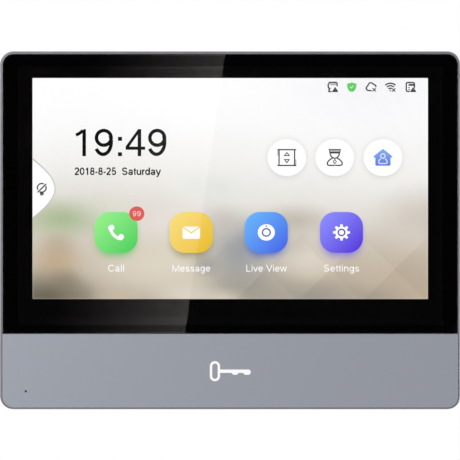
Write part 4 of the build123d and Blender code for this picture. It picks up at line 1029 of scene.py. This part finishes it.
# Dark studio wall with one slanted bright window: only what is polished mirrors it
CARD_Y = VIEW_CENTRE.y - CAMERA_AWAY * 1.15             # just behind the camera
CARD_HALF = (0.34, 0.27)
MIRRORED = 1 + (VIEW_CENTRE.y - CARD_Y) / CAMERA_AWAY   # size on the card of a size on the glass
GLARE_EDGE = -17.1              # millimetres on the glass, along the slant
GLARE_RAMP = 84.0               # distance over which it fades away from its edge
GLARE_SLANT = 0.1434
GLARE_LIGHT = 0.78
DARK_ROOM = 0.025               # light of the rest of the card


def studio_card():
    """Card that the glass mirrors, with the window's light growing towards its slanted edge."""
    material = bpy.data.materials.new("studio_card")
    material.use_nodes = True
    tree = material.node_tree
    tree.nodes.clear()
    point = split_point(tree)
    along = math_node(tree, "SUBTRACT", point[0], math_node(tree, "MULTIPLY", point[2], GLARE_SLANT))
    edge = GLARE_EDGE * MM * MIRRORED
    ramp = spread(tree, along, 0.0, 1.0, edge - GLARE_RAMP * MM * MIRRORED, edge)
    eased = math_node(tree, "MULTIPLY", math_node(tree, "POWER", ramp, 2.0), GLARE_LIGHT)
    inside = math_node(tree, "LESS_THAN", along, edge)
    emission = tree.nodes.new("ShaderNodeEmission")
    emission.inputs["Color"].default_value = (1.0, 0.93, 0.9, 1)
    link(tree, math_node(tree, "ADD", math_node(tree, "MULTIPLY", eased, inside), DARK_ROOM),
         emission.inputs["Strength"])
    output = tree.nodes.new("ShaderNodeOutputMaterial")
    link(tree, emission.outputs[0], output.inputs["Surface"])
    mesh = bpy.data.meshes.new("studio_card")
    wide, tall = CARD_HALF
    mesh.from_pydata([(-wide, CARD_Y, -tall), (wide, CARD_Y, -tall), (wide, CARD_Y, tall),
                      (-wide, CARD_Y, tall)], [], [(0, 1, 2, 3)])
    mesh.materials.append(material)
    card = add_object("studio_card", mesh)
    card.visible_camera = card.visible_diffuse = card.visible_shadow = False


studio_card()


def area_light(name, place, size, power):
    """Soft white lamp that faces the origin and isn't seen itself."""
    data = bpy.data.lights.new(name, "AREA")
    data.shape, data.size, data.size_y = "RECTANGLE", size[0], size[1]
    data.energy = power
    light = add_object(name, data)
    light.location = place
    light.rotation_mode = "QUATERNION"
    light.rotation_quaternion = (-Vector(place)).to_track_quat("-Z", "Y")
    light.visible_camera = False


area_light("key_light", (-0.95, -0.82, 0.62), (0.8, 0.6), 22.5)
area_light("side_light", (1.6, 0.1, 0.1), (1.0, 2.0), 23)
area_light("back_light", (0.9, 1.7, 1.1), (2.2, 2.2), 19)

WORLD_SHOWN = 1.0
WORLD_LIGHT = 0.5


def studio_world():
    """White to look at, softer as a light."""
    world = bpy.data.worlds.new("studio")
    world.use_nodes = True
    tree = world.node_tree
    tree.nodes.clear()
    mix = tree.nodes.new("ShaderNodeMixShader")
    link(tree, tree.nodes.new("ShaderNodeLightPath").outputs["Is Camera Ray"], mix.inputs[0])
    for strength, socket in zip((WORLD_LIGHT, WORLD_SHOWN), mix.inputs[1:]):
        node = tree.nodes.new("ShaderNodeBackground")
        node.inputs["Color"].default_value = (1, 1, 1, 1)
        node.inputs["Strength"].default_value = strength
        link(tree, node.outputs[0], socket)
    output = tree.nodes.new("ShaderNodeOutputWorld")
    link(tree, mix.outputs[0], output.inputs["Surface"])
    bpy.context.scene.world = world


studio_world()
bpy.context.scene.view_settings.view_transform = "Standard"

camera_data = bpy.data.cameras.new("camera")
camera_data.lens, camera_data.sensor_width = LENS, SENSOR
camera_data.clip_start, camera_data.clip_end = CLIP
camera = add_object("camera", camera_data)
camera.location = VIEW_CENTRE - Vector((0, CAMERA_AWAY, 0))
camera.rotation_euler = (pi / 2, 0, 0)
bpy.context.scene.camera = camera
